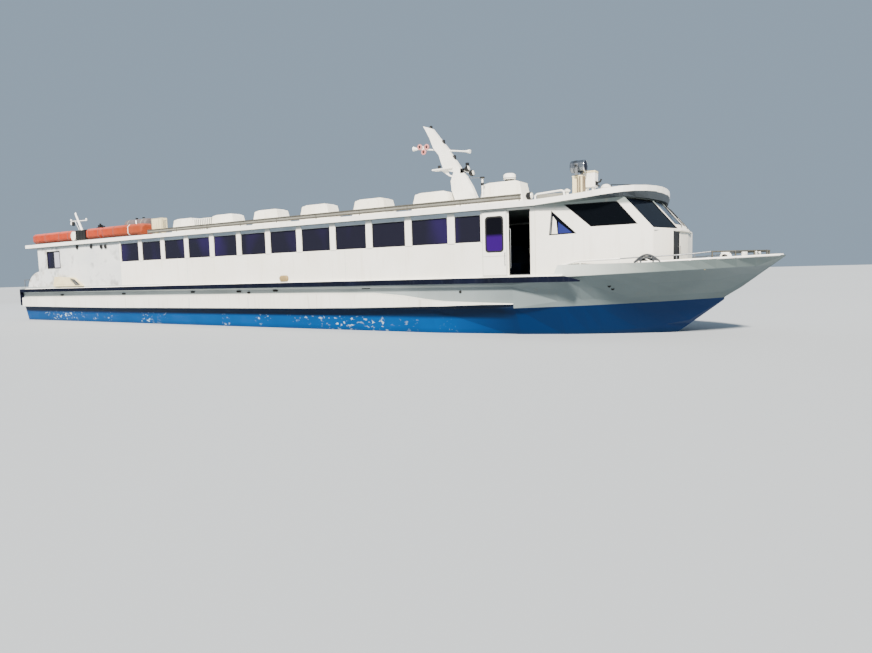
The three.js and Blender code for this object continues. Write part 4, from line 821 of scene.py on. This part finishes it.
window_trim()
wall_lip()
side_fittings()
vent_casing()
round_vents()
stern_window()
doorway()
door_leaf_trim("starboard", 9.85)
door_leaf_trim("port", 10.62)
wheelhouse_side_trim()
screen_trim()
front_trim()
helm()


# Bow

def bulwark_top(x):
    """The bulwark's height, which rises towards the stem."""
    return 2.025 + 0.11 * max(0.0, (x - 14.5) / 3.1) ** 1.3


def bulwark_edge(x):
    """Half the beam at the bulwark's top."""
    t = max(0.0, (x - 13) / (1.85 + bulwark_top(x) / 0.78))
    return 2.6 * max(0.0, 1 - t ** 2.6) ** 0.8


def bow_cap():
    """The round cap on the bulwark's edge, from side to side round the stem."""
    mesh = bmesh.new()
    xs = [14.3 + 0.2 * i for i in range(16)] + [17.40]
    side = [(x, -max(0.02, bulwark_edge(x) - 0.040), bulwark_top(x) + 0.008) for x in xs]
    stem = (17.47, 0, bulwark_top(17.47) + 0.008)
    tube_in(mesh, side + [stem] + [(x, -y, z) for x, y, z in side[::-1]], 0.030)
    piece("bulwark_cap", mesh, "roof")


# The grab rail's points from aft, white and thick up to the sixth, and bare and thin forward of it
GRAB_RAIL = [
    (12.27, -2.54, 2.02), (12.36, -2.54, 2.035), (12.54, -2.54, 2.080), (12.77, -2.54, 2.120),
    (13.32, -2.54, 2.131), (13.84, -2.51, 2.142), (14.24, -2.46, 2.160), (14.58, -2.38, 2.172),
    (15.19, -2.19, 2.190), (15.60, -2.03, 2.215), (15.95, -1.85, 2.252),
]


def grab_rails():
    """The rail on the bulwark and its posts."""
    white, grey = blanks(2)
    tube_in(white, GRAB_RAIL[:6], 0.026, 12)
    tube_in(grey, GRAB_RAIL[5:], 0.017, 10)
    for x, y, z in GRAB_RAIL[3:6:2]:
        tube_in(white, [(x, y, z), (x, y, 2.026)], 0.014, 8)
    for x, y, z in GRAB_RAIL[7:-1]:
        tube_in(grey, [(x, y, z), (x, y, bulwark_top(x) + 0.002)], 0.011, 8)
    both("grab_rail_aft", white, "roof")
    both("grab_rail_fore", grey, "galvanised")


def bow_fairlead():
    """The arched roller fairlead on the bulwark, with a dark sheet as painted shade in its mouth, and a brace
    across.
    """
    arch, mouth, brace = blanks(3)
    for rise, radius in ((0.195, 0.028), (0.120, 0.020)):
        points = []
        for i in range(13):
            t = i / 12
            x = 14.20 + 0.62 * t
            points.append((x, -(bulwark_edge(x) - 0.035), bulwark_top(x) + rise * math.sin(math.pi * t)))
        tube_in(arch, points, radius)
    for x in (14.36, 14.66):
        y = -(bulwark_edge(x) - 0.035)
        tube_in(arch, [(x, y, bulwark_top(x)), (x, y, bulwark_top(x) + 0.15)], 0.030, 12)
    # A dark sheet in the arch, painted shade for the opening under it
    outline = [(14.24 + 0.54 * i / 8, 2.028 + 0.125 * math.sin(math.pi * i / 8)) for i in range(9)]
    behind = side_face(0, -2.34, 0)
    slab_in(mouth, outline, behind, 0.0, 0.02)
    tube_in(brace, [(14.42, -2.435, 2.16), (14.60, -2.40, 2.04), (14.74, -2.37, 2.03)], 0.018)
    both("fairlead_arch", arch, "worn")
    both("fairlead_mouth", mouth, "rubber")
    both("fairlead_brace", brace, "roof")


def deck_z(x):
    """The foredeck, which rises forward of x 15.2."""
    return DECK_Z + max(0.0, x - 15.2) * 0.115


def foredeck_gear():
    """The locker, the windlass, two ventilators and the crossed bollard."""
    locker, lid, white, dark = blanks(4)
    box_in(locker, (15.28, -1.80, deck_z(15.8) + 0.002), (15.82, -1.05, 2.055))
    box_in(lid, (15.26, -1.82, 2.057), (15.84, -1.03, 2.098))
    # Windlass, with a drum across the boat and its motor
    base = deck_z(16.3) + 0.004
    box_in(white, (15.98, -0.80, base), (16.30, -0.30, base + 0.10))
    across = side_face(16.14, -0.55, 2.13)
    drum = [(0.10, -0.30), (0.13, -0.28), (0.075, -0.22), (0.075, 0.02), (0.13, 0.08), (0.10, 0.10)]
    turned_in(white, drum, across)
    turned_in(dark, [(0.06, 0.105), (0.065, 0.115), (0.065, 0.22), (0.04, 0.24)], across, 16)
    box_in(white, (16.04, -0.62, base + 0.09), (16.24, -0.48, 2.28))
    for x, y, top in ((15.77, -0.95, 2.12), (15.7, 1.2, 2.10)):
        at = flat(x, y, deck_z(x))
        height = top - deck_z(x)
        turned_in(white, [(0.05, 0.004), (0.05, height - 0.09), (0.11, height - 0.08), (0.11, height - 0.05),
                          (0.06, height - 0.005), (0.02, height)], at, 20)
    # Crossed bollard near the stem
    for lean in (-0.09, 0.09):
        for y in (-0.62, 0.62):
            tube_in(white, [(16.88, y - lean, deck_z(16.9)), (16.88, y + lean, 2.24)], 0.032, 12)
    piece("locker", locker, "yellow", bevel=0.012)
    piece("locker_lid", lid, "cream", bevel=0.010)
    piece("windlass", white, "roof", bevel=0.004)
    piece("windlass_motor", dark, "black")


def bow_drains():
    """Drain spigots on the flare, each set on the skin where it is nearest."""
    mesh = bmesh.new()
    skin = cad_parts["hull_topsides"]
    for point in ((13.49, -2.3, 1.23), (13.57, -2.25, 1.07), (9.0, -2.6, 1.30)):
        _, place, normal, _ = skin.closest_point_on_mesh(Vector(point))
        at = plane(place, Vector((0, 0, 1)).cross(normal), (0, 0, 1))
        turned_in(mesh, [(0.045, 0.0), (0.045, 0.012), (0.030, 0.012), (0.030, 0.004), (0.01, 0.004)], at, 16)
    both("bow_drains", mesh, "rubber")


bow_cap()
grab_rails()
bow_fairlead()
foredeck_gear()
bow_drains()


# Roof

# The units' after ends, and the height of the first six. The last has no fans.
UNIT_STARTS = [-7.76 + 2.72 * i for i in range(7)]
UNIT_HEIGHT = 0.78
CROWN_Z = 3.95
SEARCHLIGHT_X, SEARCHLIGHT_Z = 11.9, 5.056
RADAR_X = 9.55
FLOAT_FOOT_Z, FLOAT_TOP_Z = 3.9139, 4.40
FLOAT_Y = (-2.49, -1.84)
TANK_Y, TANK_Z = -1.52, 4.45


def unit_trim():
    """Fan guards on the units, their plinths, and the ribs of the louvred case between the first two."""
    fans, ribs, plinth = blanks(3)
    for x0 in UNIT_STARTS[:-1]:
        for x in (x0 + 0.605, x0 + 1.045):
            at = flat(x, 0, CROWN_Z + 0.0003 + UNIT_HEIGHT)
            for radius in (0.19, 0.13, 0.07):
                hoop_in(fans, radius - 0.010, radius, GAP, 0.012, at, 24)
            for k in range(4):
                a = math.pi * k / 4
                reach = Vector((0.18 * math.cos(a), 0.18 * math.sin(a), 0.008))
                tube_in(fans, [at @ reach, at @ Vector((-reach.x, -reach.y, 0.008))], 0.004, 6)
    for x0 in UNIT_STARTS:
        foot = (x0 - 0.012, x0 + 1.662, -0.392, 0.392)
        ring_in(plinth, oblong(*foot), oblong(*foot, 0.016), Matrix(), CROWN_Z + 0.001, CROWN_Z + 0.035)
    for y in (-0.344, 0.330):
        for i in range(10):
            x = -6.05 + 0.125 * i
            box_in(ribs, (x - 0.022, y, 4.03), (x + 0.022, y + 0.014, 4.615))
    for i in range(5):
        box_in(ribs, (-6.205, -0.30 + 0.15 * i - 0.02, 4.625), (-4.915, -0.30 + 0.15 * i + 0.02, 4.650))
    piece("unit_fans", fans, "black")
    piece("unit_plinths", plinth, "unit")
    piece("louvre_ribs", ribs, "grey")


def float_section(grow):
    """The floats' section, a box with chamfered edges, grown by a strap's thickness."""
    y0, y1, low, high = FLOAT_Y[0] - grow, FLOAT_Y[1] + grow, FLOAT_FOOT_Z + 0.001, FLOAT_TOP_Z + grow
    edge = 0.11
    return [(y0, low + edge), (y0 + edge, low), (y1 - edge, low), (y1, low + edge), (y1, high - edge),
            (y1 - edge, high), (y0 + edge, high), (y0, high - edge)]


def float_trim():
    """The floats' straps and the release on the middle one."""
    dark, pale, handle = blanks(3)
    for x in (-15.9, -14.9, -13.6, -12.8, -11.05, -10.2, -9.85, -9.0):
        ring_in(dark, float_section(0.004), float_section(0.0008), fore_face(x, 0, 0), -0.014, 0.014)
    # The white strap runs on down over the roof's edge
    x = -7.85
    ring_in(pale, float_section(0.006), float_section(0.0008), fore_face(x, 0, 0), -0.02, 0.02)
    slab_in(pale, oblong(x - 0.03, x + 0.03, 3.70, 3.845), side_face(0, -2.7435, 0), 0.0, 0.0055)
    box_in(handle, (-10.62, -2.30, 4.402), (-10.18, -2.05, 4.445))
    box_in(handle, (-10.56, -2.26, 4.44), (-10.40, -2.10, 4.56))
    tube_in(handle, [(-10.40, -2.18, 4.47), (-10.30, -2.18, 4.50), (-10.12, -2.18, 4.47)], 0.028)
    turned_in(handle, [(0.035, 0), (0.045, 0.02), (0.045, 0.06), (0.02, 0.08)],
              flat(-10.48, -2.18, 4.555), 14)
    piece("float_straps", dark, "tank")
    piece("float_strap_white", pale, "roof")
    piece("float_release", handle, "black", bevel=0.008)


def crate_trim():
    """The crate's slats and corner posts, and the boards of its lid."""
    slats, top = blanks(2)
    foot = (-12.106, -11.294, -2.476, -1.834)
    for i in range(5):
        z = 3.925 + 0.10 * i
        ring_in(slats, oblong(*foot), oblong(*foot, 0.0065), Matrix(), z, z + 0.03)
    for x in (-12.09, -11.82, -11.56, -11.31):
        box_in(slats, (x - 0.02, -2.480, 3.925), (x + 0.02, -2.4695, 4.370))
    for i in range(8):
        box_in(top, (-12.08 + 0.10 * i, -2.46, 4.3745), (-12.03 + 0.10 * i, -1.85, 4.384))
    piece("crate_slats", slats, "rubber")
    piece("crate_top", top, "strip")


def canister_trim():
    """Two black bands, a rim at mid length and a domed end on the canister, which lies athwart the roof."""
    bands, cap = blanks(2)
    axis = side_face(-12.345, -2.47, FLOAT_FOOT_Z + 0.215)
    for low in (-0.135, -0.555):
        hoop_in(bands, 0.2155, 0.219, low, low + 0.035, axis, 32)
    turned_in(cap, [(0.205, GAP), (0.19, 0.008), (0.12, 0.014), (0.02, 0.016)], axis, 28)
    turned_in(cap, [(0.2155, -0.33), (0.224, -0.325), (0.224, -0.30), (0.2155, -0.295)], axis, 32, True)
    piece("canister_bands", bands, "black")
    piece("canister_rim", cap, "lamp")


def tank_trim():
    """The tank's bands, domed ends, two caps and the pipe that runs down beside it."""
    bands, ends, fittings, pipe = blanks(4)
    for x in (-8.95, -7.95):
        hoop_in(bands, 0.2805, 0.286, -0.03, 0.03, fore_face(x, TANK_Y, TANK_Z), 32)
    for at in (fore_face(-7.70, TANK_Y, TANK_Z), aft_face(-9.20, TANK_Y, TANK_Z)):
        turned_in(ends, [(0.278, GAP), (0.262, 0.03), (0.20, 0.06), (0.10, 0.078), (0.02, 0.082)], at, 28)
    for x in (-8.62, -8.10):
        turned_in(fittings, [(0.035, 0), (0.035, 0.02), (0.065, 0.025), (0.065, 0.055), (0.03, 0.07)],
                  flat(x, TANK_Y, TANK_Z + 0.278), 16)
    tube_in(pipe, [(-8.30, -1.78, 4.63), (-8.22, -1.83, 4.60), (-8.16, -1.86, 4.48), (-8.16, -1.87, 4.30),
                   (-8.16, -1.78, 4.15), (-8.16, -1.60, 4.05)], 0.028)
    piece("tank_bands", bands, "strip")
    piece("tank_ends", ends, "tank")
    piece("tank_fittings", fittings, "rubber")
    piece("tank_pipe", pipe, "roof")


def ac_trim():
    """The seams on the air conditioning box's front, its round fan guard inboard and the slots on its end."""
    lines, grille = blanks(2)
    face = side_face(0, -2.49, 0)
    frame_in(lines, (-6.095, -5.425, 4.05, 4.515), 0.010, (0.02, 0.02), face, 0.0004, 0.004)
    slab_in(lines, oblong(-5.62, -5.61, 4.06, 4.505), face, 0.0004, 0.003)
    back = plane((-5.80, -2.23, 4.285), (-1, 0, 0), (0, 0, 1))
    for radius in (0.19, 0.14, 0.09, 0.04):
        hoop_in(grille, radius - 0.008, radius, GAP, 0.014, back, 28)
    fore = fore_face(-5.41, -2.49, 0)
    for i in range(7):
        z = 4.12 + 0.05 * i
        slab_in(grille, oblong(0.05, 0.21, z, z + 0.015), fore, GAP, 0.006)
    piece("ac_seams", lines, "grey")
    piece("ac_grilles", grille, "grey")


def roof_edge_fittings():
    """The side lamps, handrails and vents by the roof's edges, and two fittings on the wheelhouse roof."""
    lamp, lens, pipes, dome, strip = blanks(5)
    at = fore_face(11.36, -2.62, 3.975)
    turned_in(lamp, [(0.05, -0.10), (0.095, -0.07), (0.105, 0.0), (0.105, 0.05), (0.09, 0.055)], at, 22)
    box_in(lamp, (11.33, -2.65, 3.862), (11.39, -2.59, 3.90))
    turned_in(lens, [(0.088, 0.0555), (0.080, 0.075), (0.045, 0.09), (0.01, 0.094)], at, 22)
    tube_in(pipes, [(11.27, -2.0, 3.90), (11.27, -2.0, 4.04), (11.34, -2.0, 4.085), (12.06, -2.0, 4.125),
                    (12.13, -2.0, 4.09), (12.15, -2.0, 3.93)], 0.028)
    # A grey plate under the handrail, painted shade for the shadow beneath it
    box_in(strip, (11.32, -2.006, 3.90), (12.10, -1.994, 4.06))
    turned_in(dome, [(0.05, 0.0), (0.05, 0.10), (0.09, 0.11), (0.09, 0.15), (0.03, 0.19)],
              flat(12.12, -1.7, 4.00), 18)
    # The plate between the two bars of the long roof rail
    box_in(strip, (-6.20, -2.646, 3.945), (11.10, -2.634, 4.015))
    both("side_lamp", lamp, "black")
    both("side_lamp_lens", lens, "lamp")
    both("roof_handrail", pipes, "roof")
    both("roof_rail_strip", strip, "strip", bevel=0.002)
    both("roof_vent", dome, "lamp")
    mushroom, bar = blanks(2)
    turned_in(mushroom, [(0.05, 0.0), (0.05, 0.25), (0.15, 0.26), (0.15, 0.29), (0.09, 0.355), (0.02, 0.37)],
              flat(12.74, 0, 4.075), 24)
    tube_in(bar, [(12.95, -0.15, 4.09), (12.95, -0.15, 4.395), (13.50, -0.15, 4.335), (13.50, -0.15, 4.16)],
            0.016, 8)
    piece("mushroom_vent", mushroom, "lamp")
    piece("visor_bar", bar, "black")


def mast_trim():
    """The lamps and signals of the main mast with their brackets, and the cap and whip of the post by it."""
    dark, lens, red, stem = blanks(4)
    # Masthead lamps on the forward edge and on the shelf, each a short lantern
    lanterns = ((6.56, 6.945, 0.06, 0.105), (7.06, 6.38, 0.06, 0.12), (7.48, 5.80, 0.065, 0.13),
                (6.86, 5.517, 0.06, 0.13))
    for x, z, radius, height in lanterns:
        at = flat(x, 0, z)
        turned_in(dark, [(radius, 0.0), (radius, 0.03), (radius * 0.9, 0.035), (radius * 0.9, height - 0.03),
                         (radius, height - 0.025), (radius * 0.7, height)], at, 16)
    for x, z in ((7.00, 6.37), (7.42, 5.79)):
        box_in(stem, (x - 0.02, -0.03, z - 0.02), (x + 0.09, 0.03, z + 0.004))
    # Two floodlights and their bracket forward of the mast
    tube_in(stem, [(7.72, 0, 5.40), (7.95, 0, 5.33), (8.20, 0, 5.22)], 0.022)
    for x, z, tilt in ((7.99, 5.42, 1.0), (8.16, 5.25, 0.55)):
        at = plane((x, -0.02, z), (0, 1, 0), (-0.3 * tilt, 0, 1))
        turned_in(dark, [(0.05, -0.10), (0.09, -0.06), (0.105, 0.0), (0.105, 0.05), (0.09, 0.055)], at, 18)
        turned_in(lens, [(0.088, 0.0555), (0.06, 0.068), (0.01, 0.072)], at, 18)
    box_in(dark, (7.74, -0.09, 5.28), (7.86, 0.09, 5.44))
    box_in(dark, (7.93, -0.04, 5.52), (8.03, 0.04, 5.62))
    # Red signal lamps on the after end of the arm
    for x, z in ((6.09, 6.375), (6.38, 6.345), (6.25, 6.185)):
        at = side_face(x, -0.02, z)
        shell = [(0.05, -0.02), (0.095, -0.01), (0.10, 0.03), (0.055, 0.035), (0.05, 0.02), (0.01, 0.02)]
        turned_in(red, shell, at, 18)
        turned_in(dark, [(0.035, 0.021), (0.035, 0.04), (0.01, 0.05)], at, 12)
    tube_in(stem, [(6.20, 0, 6.40), (6.25, 0, 6.17)], 0.02)
    piece("mast_lamps", dark, "black")
    piece("mast_lamp_lenses", lens, "lamp")
    piece("mast_signals", red, "red")
    piece("mast_brackets", stem, "roof")
    cap, post = blanks(2)
    top = flat(8.86, -0.62, 4.931)
    turned_in(cap, [(0.03, 0.0), (0.075, 0.005), (0.085, 0.03), (0.07, 0.055), (0.02, 0.06)], top, 18)
    hoop_in(cap, 0.0305, 0.05, -0.22, -0.14, top, 14)
    tube_in(post, [(8.83, -0.62, 4.96), (8.60, -0.60, 4.985), (8.32, -0.58, 5.01)], 0.008, 6)
    piece("post_cap", cap, "black")
    piece("post_whip", post, "galvanised")


def aft_mast_trim():
    """The stern lamp, and the small white fittings and the stay on the after mast."""
    dark, white = blanks(2)
    turned_in(dark, [(0.03, 0.0), (0.07, -0.02), (0.075, -0.06), (0.075, -0.20), (0.05, -0.23)],
              flat(-16.80, 0, 5.235), 16)
    turned_in(white, [(0.02, 0.0), (0.05, -0.02), (0.055, -0.16), (0.03, -0.18)],
              flat(-16.98, 0, 5.245), 16)
    for x, z in ((-17.0, 5.29), (-15.50, 5.25)):
        turned_in(white, [(0.025, 0.0), (0.045, 0.02), (0.045, 0.07), (0.015, 0.10)],
                  flat(x, 0, z), 14)
    tube_in(white, [(-16.62, 0, 5.25), (-15.85, 0, 4.20)], 0.010, 6)
    turned_in(white, [(0.05, 0.0), (0.05, 0.05), (0.03, 0.08), (0.01, 0.12)],
              flat(-16.5, 0, 5.615), 14)
    piece("stern_lamp", dark, "black")
    piece("stern_mast_fittings", white, "roof")


def radar_trim():
    """The radar's foot ring and the rubber round its case."""
    mesh = bmesh.new()
    turned_in(mesh, [(0.1305, 0.0), (0.165, 0.0), (0.165, 0.02), (0.150, 0.060), (0.1305, 0.060)],
              flat(RADAR_X, 0, 4.825), 28, True)
    turned_in(mesh, [(0.2055, 0.0), (0.208, 0.004), (0.208, 0.010), (0.2055, 0.014)],
              flat(RADAR_X, 0, 4.93), 32, True)
    piece("radar_base", mesh, "black")


def searchlight_trim():
    """The searchlight's rim, lens, finned back and pivot knobs, and its pedestal's conduits and flanges."""
    rim, lens, back, knobs, hoses = blanks(5)
    fore = fore_face(SEARCHLIGHT_X + 0.215, 0, SEARCHLIGHT_Z)
    turned_in(rim, [(0.1905, -0.03), (0.1925, -0.03), (0.1930, -0.012), (0.1905, -0.002), (0.184, 0.005),
                    (0.176, 0.007), (0.172, 0.004), (0.172, 0.0006), (0.1895, GAP)], fore, 36, True)
    turned_in(lens, [(0.171, 0.0008), (0.171, 0.004), (0.14, 0.012), (0.08, 0.020), (0.01, 0.022)], fore, 32)
    aft = aft_face(SEARCHLIGHT_X - 0.215, 0, SEARCHLIGHT_Z)
    turned_in(back, [(0.186, GAP), (0.178, 0.016), (0.11, 0.040), (0.03, 0.048)], aft, 28)
    for t in (-0.10, -0.14, -0.18):
        hoop_in(back, 0.1905, 0.196, t, t + 0.012, aft, 32)
    for side in (-1, 1):
        at = plane((SEARCHLIGHT_X, side * 0.2755, SEARCHLIGHT_Z), (side * -1, 0, 0), (0, 0, 1))
        turned_in(knobs, [(0.03, -0.001), (0.034, 0.008), (0.034, 0.018), (0.02, 0.022)], at, 14)
    trims = (("rim", rim, "chrome"), ("lens", lens, "dark_glass"), ("back", back, "black"),
             ("knobs", knobs, "black"))
    for name, mesh, finish in trims:
        piece(f"searchlight_{name}", mesh, finish, "searchlight_drum")
    tops = ((12.065, -0.11, 4.755), (12.065, -0.04, 4.74), (12.065, 0.06, 4.75), (11.98, -0.165, 4.74),
            (11.91, -0.165, 4.70))
    for x, y, top in tops:
        tube_in(hoses, [(x, y, top), (x + 0.006, y - 0.004, 4.4), (x, y, 4.03)], 0.024, 8)
    piece("pedestal_conduits", hoses, "stained")
    flange = bmesh.new()
    tube = 0.1555
    for half, low, high in ((0.20, 3.985, 4.02), (0.168, 4.735, 4.765)):
        outline = (-half, half, -half, half)
        ring_in(flange, oblong(*outline), oblong(*outline, half - tube), flat(SEARCHLIGHT_X, 0, 0), low, high)
    piece("pedestal_flanges", flange, "cream", bevel=0.006)


def roof_box_trim():
    """The lid's rim, and the pipes that leave the box forward."""
    lid, bracket = blanks(2)
    top = (11.912, 12.308, 0.312, 0.648)
    ring_in(lid, oblong(*top), oblong(*top, 0.0085), Matrix(), 4.885, 4.945)
    box_in(bracket, (12.301, 0.36, 4.50), (12.315, 0.60, 4.62))
    tube_in(bracket, [(12.31, 0.48, 4.58), (12.42, 0.48, 4.60), (12.46, 0.48, 4.68)], 0.028)
    tube_in(bracket, [(12.31, 0.48, 4.52), (12.40, 0.48, 4.46)], 0.022)
    piece("roof_box_lid", lid, "cream", bevel=0.004)
    piece("roof_box_bracket", bracket, "black")


def roof_seams():
    """Welded seams across the roof, between the units, that follow its camber."""
    mesh = bmesh.new()
    camber = [(-2.745, 3.8503), (-1.375, 3.925), (0, CROWN_Z), (1.375, 3.925), (2.745, 3.8503)]
    bead = ((-0.012, 0.0002), (0.012, 0.0002), (0.007, 0.005), (-0.007, 0.005))
    for i in range(9):
        x = -13.35 + 2.72 * i
        skin_in(mesh, [[(x + dx, y, z + dz) for dx, dz in bead] for y, z in camber])
    piece("roof_seams", mesh, "header")


roof_seams()
unit_trim()
float_trim()
crate_trim()
canister_trim()
tank_trim()
ac_trim()
roof_edge_fittings()
mast_trim()
aft_mast_trim()
radar_trim()
searchlight_trim()
roof_box_trim()


# Stern and bottom

BULKHEAD_X, TRANSOM_X = -15.5, -17.45


def stern_fittings():
    """The after deck's bitts, the bulkhead's and the door's fittings, and the transom's outlets and steps."""
    bitts, frame_bar, pane, grip, pipes = blanks(5)
    for y in (-2.15, 2.15):
        for x in (-17.10, -16.85):
            turned_in(bitts, [(0.055, 0.0), (0.055, 0.26), (0.075, 0.265), (0.075, 0.29), (0.05, 0.30)],
                      flat(x, y, DECK_Z + 0.002), 18)
        tube_in(bitts, [(-17.20, y, 1.86), (-16.75, y, 1.86)], 0.030)
    aft = aft_face(BULKHEAD_X, 0, 0)
    ring_in(frame_bar, rounded(-0.46, 0.46, 1.735, 3.62, 0.04), rounded(-0.405, 0.405, 1.765, 3.565, 0.01),
            aft, GAP, 0.018)
    for y in (-1.45, 1.45):
        frame_in(frame_bar, (y - 0.52, y + 0.52, 2.50, 3.30), 0.05, (0.10, 0.08), aft, GAP, 0.020)
        slab_in(pane, rounded(y - 0.475, y + 0.475, 2.545, 3.255, 0.08), aft, GAP, 0.008)
    for i in range(2):
        slab_in(frame_bar, rounded(-2.30, -2.10, 2.0 + 0.3 * i, 2.2 + 0.3 * i, 0.02), aft, GAP, 0.016)
    turned_in(grip, [(0.16, GAP), (0.165, 0.010), (0.150, 0.016), (0.135, 0.010), (0.135, GAP)],
              aft @ flat(0, 3.05, 0), 28, True)
    staple_in(grip, aft, (-0.30, 2.62), (-0.30, 2.82), 0.045, 0.011)
    glass = bmesh.new()
    turned_in(glass, [(0.134, GAP), (0.13, 0.006), (0.01, 0.006)], aft @ flat(0, 3.05, 0), 28)
    transom = aft_face(TRANSOM_X, 0, 0)
    for y in (-0.9, 0.9):
        turned_in(pipes, [(0.10, GAP), (0.12, 0.004), (0.12, 0.055), (0.085, 0.055), (0.085, 0.010),
                          (0.01, 0.010)], transom @ flat(y, 0.42, 0), 24)
    for i in range(6):
        z = 0.30 + 0.20 * i
        staple_in(pipes, transom, (-2.05, z), (-1.70, z), 0.07, 0.014)
    piece("stern_bitts", bitts, "galvanised")
    piece("bulkhead_frames", frame_bar, "roof", bevel=0.003)
    piece("bulkhead_panes", pane, "dark_glass")
    piece("aft_door_steel", grip, "chrome", "aft_door")
    piece("aft_door_port_light", glass, "dark_glass", "aft_door")
    piece("transom_steel", pipes, "galvanised")


def anodes():
    """Zinc blocks on the bottom, each set on the skin where it is nearest."""
    mesh = bmesh.new()
    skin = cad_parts["hull_lower"]
    for x in (-14.5, -11.0, -6.0, 0.0, 6.0):
        _, place, normal, _ = skin.closest_point_on_mesh(Vector((x, -1.9, -0.6)))
        at = plane(place, (1, 0, 0), normal.cross(Vector((1, 0, 0))))
        slab_in(mesh, rounded(-0.16, 0.16, -0.05, 0.05, 0.03), at, 0.0, 0.03)
    both("anodes", mesh, "galvanised", bevel=0.008)


def hatch_trim():
    """The engine hatch's rim and its lifting ring."""
    frame_bar, ring = blanks(2)
    place = flat(-12.0, 0, DECK_Z)
    frame_in(frame_bar, (-0.73, 0.73, -0.58, 0.58), 0.03, (0.03, 0.03), place, 0.0004, 0.003)
    frame_in(ring, (0.52, 0.66, -0.06, 0.06), 0.02, (0.03, 0.02), place, 0.0004, 0.008)
    piece("hatch_rim", frame_bar, "galvanised", "engine_hatch")
    piece("hatch_ring", ring, "chrome", "engine_hatch")


stern_fittings()
anodes()
hatch_trim()


# Stage

def set_stage():
    """A pale floor at the waterline."""
    floor = bpy.data.meshes.new("floor")
    floor.from_pydata([(x, y, 0) for x, y in oblong(-400, 400, -400, 400)], [], [(0, 1, 2, 3)])
    holder = bpy.data.objects.new("floor", floor)
    bpy.context.scene.collection.objects.link(holder)
    material, tree, shader, place = start_material("studio_floor", 0.85)
    shade = add(tree, MIX, spots(tree, place, 30.0, 0.3, 0.7), "#abb1b6", "#a6acb1")
    tree.links.new(shade, shader["Base Color"])
    holder.data.materials.append(material)


def light(name, kind, place, way, power, colour):
    """A light at a place that shines one way."""
    lamp = bpy.data.lights.new(name, kind)
    lamp.energy = power
    lamp.color = linear(colour)[:3]
    holder = bpy.data.objects.new(name, lamp)
    turn = Vector(way).to_track_quat("-Z", "Y").to_matrix().to_4x4()
    holder.matrix_world = Matrix.Translation(place) @ turn
    bpy.context.scene.collection.objects.link(holder)
    return lamp


def set_light():
    """A soft key from the photo's side, a wide fill from the other, and a pale sky."""
    light("key", "SUN", (0, 0, 0), (-20, 40, -39), 13.0, "#fff6ea").angle = math.radians(7)
    light("fill", "AREA", (-30, 24, 24), (28, -24, -22), 6000, "#eaf1ff").size = 24
    world = bpy.data.worlds.new("studio")
    world.use_nodes = True
    back = world.node_tree.nodes["Background"]
    back.inputs["Color"].default_value = linear("#b0c6dc")
    back.inputs["Strength"].default_value = 0.72
    bpy.context.scene.world = world


set_stage()
set_light()
